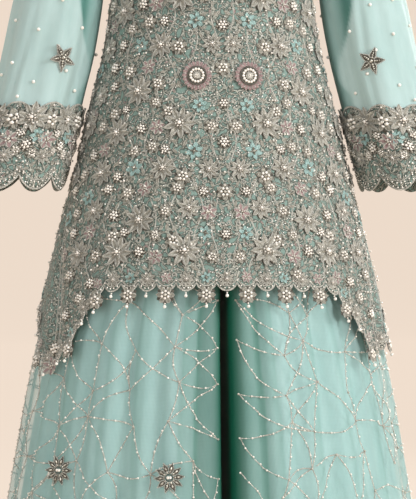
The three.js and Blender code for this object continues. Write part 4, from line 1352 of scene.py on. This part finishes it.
def rosette_master():
    """A round button: a scalloped rim, a dark ring and a domed middle with circles of beads."""
    rim = solid(bpy.ops.mesh.primitive_cylinder_add, ROSY, vertices=40, radius=19.5 * MM, depth=2.4 * MM,
                location=(0, 0, 1.3 * MM))
    applied(rim, "BEVEL", width=0.8 * MM, segments=2)
    parts = [rim]
    for k in range(20):
        a = 2 * math.pi * k / 20
        parts.append(solid(bpy.ops.mesh.primitive_uv_sphere_add, ROSY, segments=10, ring_count=6, radius=MM,
                           location=(18.6 * MM * math.cos(a), 18.6 * MM * math.sin(a), 1.7 * MM),
                           rotation=(0, 0, a), scale=(3.4, 2.9, 1.5)))
        parts.append(bead(21.3 * math.cos(a), 21.3 * math.sin(a), 1.7, 0.9, BEIGE))
        beside = a + math.pi / 20
        parts.append(solid(bpy.ops.mesh.primitive_ico_sphere_add, BEIGE, subdivisions=1, radius=MM,
                           location=(18.0 * MM * math.cos(beside), 18.0 * MM * math.sin(beside), 2.6 * MM),
                           rotation=(0, 0, beside), scale=(3.2, 0.75, 0.8)))
    for radius, thick in ((13.4, 1.5), (11.8, 1.0)):
        parts.append(solid(bpy.ops.mesh.primitive_torus_add, DARK, major_radius=radius * MM,
                           minor_radius=thick * MM, major_segments=40, minor_segments=8,
                           location=(0, 0, 2.8 * MM)))
    parts.append(solid(bpy.ops.mesh.primitive_cylinder_add, DARK, vertices=32, radius=11 * MM, depth=4 * MM,
                       location=(0, 0, 2.2 * MM)))
    parts += circle_of_beads(14, 9.4, 4.6, 2.15, PEARLY)
    parts += circle_of_beads(14, 6.2, 4.6, 0.9, METAL)
    parts.append(solid(bpy.ops.mesh.primitive_uv_sphere_add, BEIGE, segments=20, ring_count=10, radius=MM,
                       location=(0, 0, 4.2 * MM), scale=(5.6, 5.6, 3.2)))
    parts += circle_of_beads(6, 2.6, 6.9, 0.9, PEARLY)
    return joined("rosette_master", parts + [bead(0, 0, 7.4, 1.5, PEARLY)])


# Silver beads along an arm: how far out, half length and half width
STAR_CORES = ((5.4, 2.1, 2.0), (9.2, 2.0, 1.8), (12.8, 1.8, 1.5), (16.0, 1.5, 1.1))
FLOWER_CORES = ((8.0, 2.4, 1.3), (13.2, 3.6, 1.5))


def star_master():
    """Five broad arms round a silver bead."""
    parts = []
    for k in range(5):
        parts += pointed_arm(2 * math.pi * k / 5 - 0.2, middle=9, length=25, width=10, inner=4.5, rim=1.25,
                             cores=STAR_CORES)
    return joined("star_master", parts + [bead(0, 0, 3.2, 3.0, METAL)])


def leg_flower_master():
    """Ten slim arms round dark beads and two pearls."""
    parts = []
    for k in range(10):
        parts += pointed_arm(2 * math.pi * k / 10, middle=13, length=18.5, width=7.6, inner=6.5, rim=0.95,
                             cores=FLOWER_CORES)
    parts += circle_of_beads(8, 4.0, 2.6, 1.1, DARK) + circle_of_beads(2, 1.7, 3.6, 2.4, PEARLY)
    return joined("leg_flower_master", parts)


MASTERS = {"rosette": rosette_master(), "star": star_master(), "leg_flower": leg_flower_master()}
STAR = {"angle": 108, "along": 293}
# Each brooch by its share of the way round from the side seam, behind below zero, and its level
LEG_FLOWERS = [
    ("flower_right_1", 0.245, 988), ("flower_right_2", 0.525, 989), ("flower_right_3", 0.357, 1290),
    ("flower_left_1", 0.357, 1190), ("flower_left_2", 0.548, 1330), ("flower_right_4", -0.26, 1100),
    ("flower_right_5", -0.455, 1270), ("flower_left_3", -0.26, 1010), ("flower_left_4", -0.455, 1180),
]
LEG_FLOWER_LIFT = 1.2


def star(word, tube):
    place = frame_at(tube, STAR["angle"], STAR["along"], 0.9, 0.0)
    return set_down(MASTERS["star"], f"star_{word}", place)


def rosettes(surface):
    width = float(read(PEPLUM, "down", "halfWidth", ROSETTE["down"]))
    angle = math.degrees(math.asin(ROSETTE["across"] / width))
    made = []
    for word, side in (("left", 1), ("right", -1)):
        place = frame_at(surface, side * angle, ROSETTE["down"], 0.8, 0.0)
        made.append(set_down(MASTERS["rosette"], f"rosette_{word}", place))
    return made


# The trousers

# The lattice on the legs: how far up, down and round its strings run, and their shortest and longest
HIGHEST, LOWEST, WIDEST = 690.0, 1452.0, 0.65
SHORTEST, LONGEST = 12, 150
# How likely a meeting point is joined to the next in its row, and to the nearest three below
JOINED_BESIDE, JOINED_BELOW = 0.72, (0.95, 0.72, 0.2)


def lattice_nodes(surface, rng, spacing):
    """Scattered meeting points in rows, each by how far round and how far down it lies."""
    nodes = {}
    for k, level in enumerate(np.arange(HIGHEST, LOWEST + 40, spacing)):
        length = np.interp(WIDEST, surface.a, surface.arc[surface.row(level)])
        count = max(3, int(round(length / (spacing + 8))))
        for i in range(count + 1):
            drift = rng.uniform(-0.3, 0.3) if 0 < i < count else 0
            x = (i + drift) / count * WIDEST
            nodes[k, i] = (x, min(level + rng.uniform(-16, 16), LOWEST))
    return nodes


def lattice_strings(nodes, rng):
    """The pairs of meeting points that a string joins."""
    strings = []
    for (k, i), place in nodes.items():
        if (k, i + 1) in nodes and rng.random() < JOINED_BESIDE:
            strings.append((place, nodes[k, i + 1]))
        below = sorted((abs(other[0] - place[0]), j) for (row, j), other in nodes.items() if row == k + 1)
        for (_, j), likely in zip(below, JOINED_BELOW):
            if rng.random() < likely:
                strings.append((place, nodes[k + 1, j]))
    return strings


def lattice(trim, surface, seed, spacing):
    """Bowed strings of beads that meet at scattered points, over one panel of net."""
    rng = np.random.default_rng(seed)
    small, pearls = [], []
    for (xa, da), (xb, db) in lattice_strings(lattice_nodes(surface, rng, spacing), rng):
        perimeter = surface.arc[surface.row(da)][-1]
        gap = math.hypot((xb - xa) * perimeter, db - da)
        if min(xa, xb) > 0.98 * WIDEST or not SHORTEST <= gap <= LONGEST:
            continue
        t = np.linspace(0, 1, max(5, int(gap / 8)))
        bow = rng.uniform(-0.13, 0.13) * gap * np.sin(np.pi * t)
        nx, nd = -(db - da) / gap, (xb - xa) * perimeter / gap
        a = np.clip(xa + (xb - xa) * t + bow * nx / perimeter, 0.002, 0.998)
        b = np.clip(da + (db - da) * t + bow * nd, 420, 1462)
        trim.cord(surface, a, b, 0.85, BEIGE)
        for strung, fewest, apart in ((small, 3, 8.2), (pearls, 2, 13)):
            s = np.linspace(0, 1, max(fewest, int(gap / apart)))
            strung.append([np.interp(s, t, a), np.interp(s, t, b)])
    trim.beads(surface, *np.concatenate(small, axis=1), 1.15, CUT_SHAPE, PEARLY)
    trim.beads(surface, *np.concatenate(pearls, axis=1), 1.75, BEAD_SHAPE, PEARLY)


# Where the net lies over itself: the edge of a lap, its width and how much it darkens
NET_LAPS = [
    (0.035, 0.05, 0.3), (0.15, 0.035, 0.26), (0.225, 0.06, 0.38), (0.295, 0.02, 0.2), (0.34, 0.03, 0.26),
    (0.43, 0.055, 0.36), (0.49, 0.02, 0.2), (0.535, 0.03, 0.3), (0.585, 0.03, 0.34),
]
# Where the legs turn in toward each other: how far round the shade starts, grows deep and ends
INNER_WALL = (0.52, 0.61, 0.68)
# Where the cloth of the legs starts, just below the waistband
LEG_TOP = 404.3


def inward(at):
    """How deep in the shade between the legs the cloth lies, from 0 to 1."""
    start, deep, end = INNER_WALL
    return 0.45 * smooth(start, deep, at) + 0.55 * smooth(deep, end, at)


def laps_and_painted_wall_shade(at, down):
    """How dark the net is, from its laps and from the shadow of the wall between the legs."""
    shade = inward(at) * smooth(640, 700, down)
    for edge, wide, dark in NET_LAPS:
        sway = edge + 0.01 * np.sin(down / 170 + 30 * edge)
        shade = shade + dark * smooth(sway, sway + 0.004, at) * (1 - smooth(sway + 0.004, sway + wide, at))
    return np.clip(shade, 0, 1)


def leg_lining(word, side, back, at):
    """The satin inside one panel of net, with painted shade toward the wall between the legs."""
    face = "back" if back else "front"
    low = np.linspace(LEG_TOP, 1455, 50)[:, None]
    # The lining's shade is painted darker toward the inner wall, where shade falls between the legs
    sheet = cloth(f"lining_{word}_{face}_satin", leg_surface(side, back, True), at + 0 * low, low + 0 * at,
                  shade=inward(at) + 0 * low)
    dress(sheet, SATIN, f"lining_{word}_{face}")


def leg_brooches(word, net, back):
    """The flower brooches of one panel."""
    sewn = []
    for name, at, level in LEG_FLOWERS:
        if name.startswith(f"flower_{word}") and (at < 0) == back:
            place = frame_at(net, abs(at), level, LEG_FLOWER_LIFT, 0.1)
            sewn.append(set_down(MASTERS["leg_flower"], name, place))
    return sewn


def leg(word, side, back):
    """The net of one panel of a leg with its brooches and beads, and the lining inside it."""
    face = "back" if back else "front"
    net = leg_surface(side, back, False)
    at = np.linspace(0, 1, 161)[None, :]
    down = np.linspace(LEG_TOP, 1465, 52)[:, None]
    # The net is darker at its laps, and painted shade darkens it toward the wall between the legs
    sheet = cloth(f"leg_{word}_{face}_net", net, at + 0 * down, down + 0 * at, shade=laps_and_painted_wall_shade(at, down))
    dress(sheet, LEG_NET, f"leg_{word}_{face}")
    leg_lining(word, side, back, at[:, ::2])
    sewn = leg_brooches(word, net, back)
    trim = Trimming(f"leg_{word}_{face}_beads")
    lattice(trim, net, 40 + 2 * back + (side > 0), 66.0 if back else 58.0)
    edge = np.linspace(0.01, 0.99, 240)
    trim.cord(net, edge, 1462.5, 1.2, BEIGE)
    trim.beads(net, edge[::2], 1456.0, 1.8, BEAD_SHAPE, PEARLY)
    sewn + [trim.build()]


def waistband():
    """The folded satin band that both legs hang from, slightly puckered."""
    top, bottom = WAISTBAND["top"], WAISTBAND["bottom"]
    t = np.linspace(0, 360, 121)
    levels = np.linspace(top, bottom, 9)

    def point(angle, down):
        around = np.radians(angle)
        pucker = np.abs(np.sin(np.radians(angle * PUCKERS / 2)))
        size = 1 - PUCKER_DEPTH * pucker * np.sin(np.pi * (down - top) / (bottom - top))
        return np.stack([WAISTBAND["halfWidth"] * np.sin(around) * size,
                         -WAISTBAND["halfDepth"] * np.cos(around) * size, -down + 0 * size], -1)

    surface = grid_surface(point, t, levels, (0, 0, -(top + bottom) / 2))
    band = cloth("waistband_satin", surface, *np.broadcast_arrays(t[None, :], levels[:, None]), closed=True)
    dress(band, SATIN, "waistband", FOLDED)


# Staging

# The floor's height, and the far wall with the radius of its sweep, in metres
FLOOR = -1.482
WALL, SWEEP = 11.0, 2.0
# Each lamp's place, size and power; all of them face the middle of the set
LAMPS = {
    "window": ((2.6, -2.3, 0.5), 1.1, 108), "fill": ((-1.6, -2.8, -0.2), 1.6, 28),
    "top": ((0.3, -0.9, 2.2), 1.2, 24), "behind": ((2.0, 2.6, 0.3), 1.8, 70),
}
MIDDLE = Vector((0, 0, -0.7))
# The photo's view: its direction in degrees, how far off it is and how much it takes in there
VIEW = {"azimuth": -6.5, "elevation": 1.0, "distance": 2.6, "span": 0.778}
VIEW_TARGET = Vector((-0.006, 0, -0.666))
SENSOR = 36


def in_scene(name, data):
    """A new object in the scene that holds the given data."""
    made = bpy.data.objects.new(name, data)
    bpy.context.scene.collection.objects.link(made)
    return made


def backdrop():
    """A pale floor that sweeps up behind."""
    floor = Finish("studio_paper", colour(60, 55, 50), 1.0)
    floor.set("Emission Color", BACKDROP)
    floor.set("Emission Strength", 0.93)
    profile = [(-4.0, FLOOR)]
    profile += [(WALL - SWEEP * (1 - math.sin(a)), FLOOR + SWEEP * (1 - math.cos(a)))
                for a in np.radians(np.arange(0, 91, 6))]
    profile += [(WALL, 14.0)]
    points = [(x, y, z) for x in (-22.0, 22.0) for y, z in profile]
    n = len(profile)
    faces = [(i, i + 1, n + i + 1, n + i) for i in range(n - 1)]
    mesh = bpy.data.meshes.new("studio_sweep")
    mesh.from_pydata(points, [], faces)
    mesh.polygons.foreach_set("use_smooth", np.ones(len(faces), bool))
    sweep = in_scene("studio_sweep", mesh)
    sweep.data.materials.append(floor.material)


def light():
    """Cool light from all round, and soft lamps, the strongest at the viewer's right."""
    world = bpy.data.worlds.new("studio")
    world.use_nodes = True
    sky = world.node_tree.nodes["Background"]
    sky.inputs["Color"].default_value = colour(240, 246, 250)
    sky.inputs["Strength"].default_value = 0.42
    bpy.context.scene.world = world
    for name, (place, size, power) in LAMPS.items():
        lamp = bpy.data.lights.new(name, "AREA")
        lamp.size, lamp.energy = size, power
        lamp.color = (0.985, 0.99, 1.0)
        holder = in_scene(name, lamp)
        holder.location = place
        holder.rotation_euler = (MIDDLE - Vector(place)).to_track_quat("-Z", "Y").to_euler()


def view():
    """The camera, where the photo's was."""
    azimuth, elevation = math.radians(VIEW["azimuth"]), math.radians(VIEW["elevation"])
    away = Vector((math.sin(azimuth) * math.cos(elevation), -math.cos(azimuth) * math.cos(elevation),
                   math.sin(elevation)))
    lens = bpy.data.cameras.new("camera")
    lens.lens = SENSOR * VIEW["distance"] / VIEW["span"]
    lens.sensor_fit = "AUTO"
    camera = in_scene("camera", lens)
    camera.location = VIEW_TARGET + away * VIEW["distance"]
    camera.rotation_euler = (-away).to_track_quat("-Z", "Y").to_euler()
    bpy.context.scene.camera = camera
    bpy.context.scene.view_settings.view_transform = "Standard"


bodice(NECK_FRONT, "bodice_front")
bodice(NECK_BACK, "bodice_back")
peplum(False)
peplum(True)
for word, side in (("left", 1), ("right", -1)):
    sleeve(word, side)
    for back in (False, True):
        leg(word, side, back)
waistband()
for master in MASTERS.values():
    bpy.data.objects.remove(master)
backdrop()
light()
view()
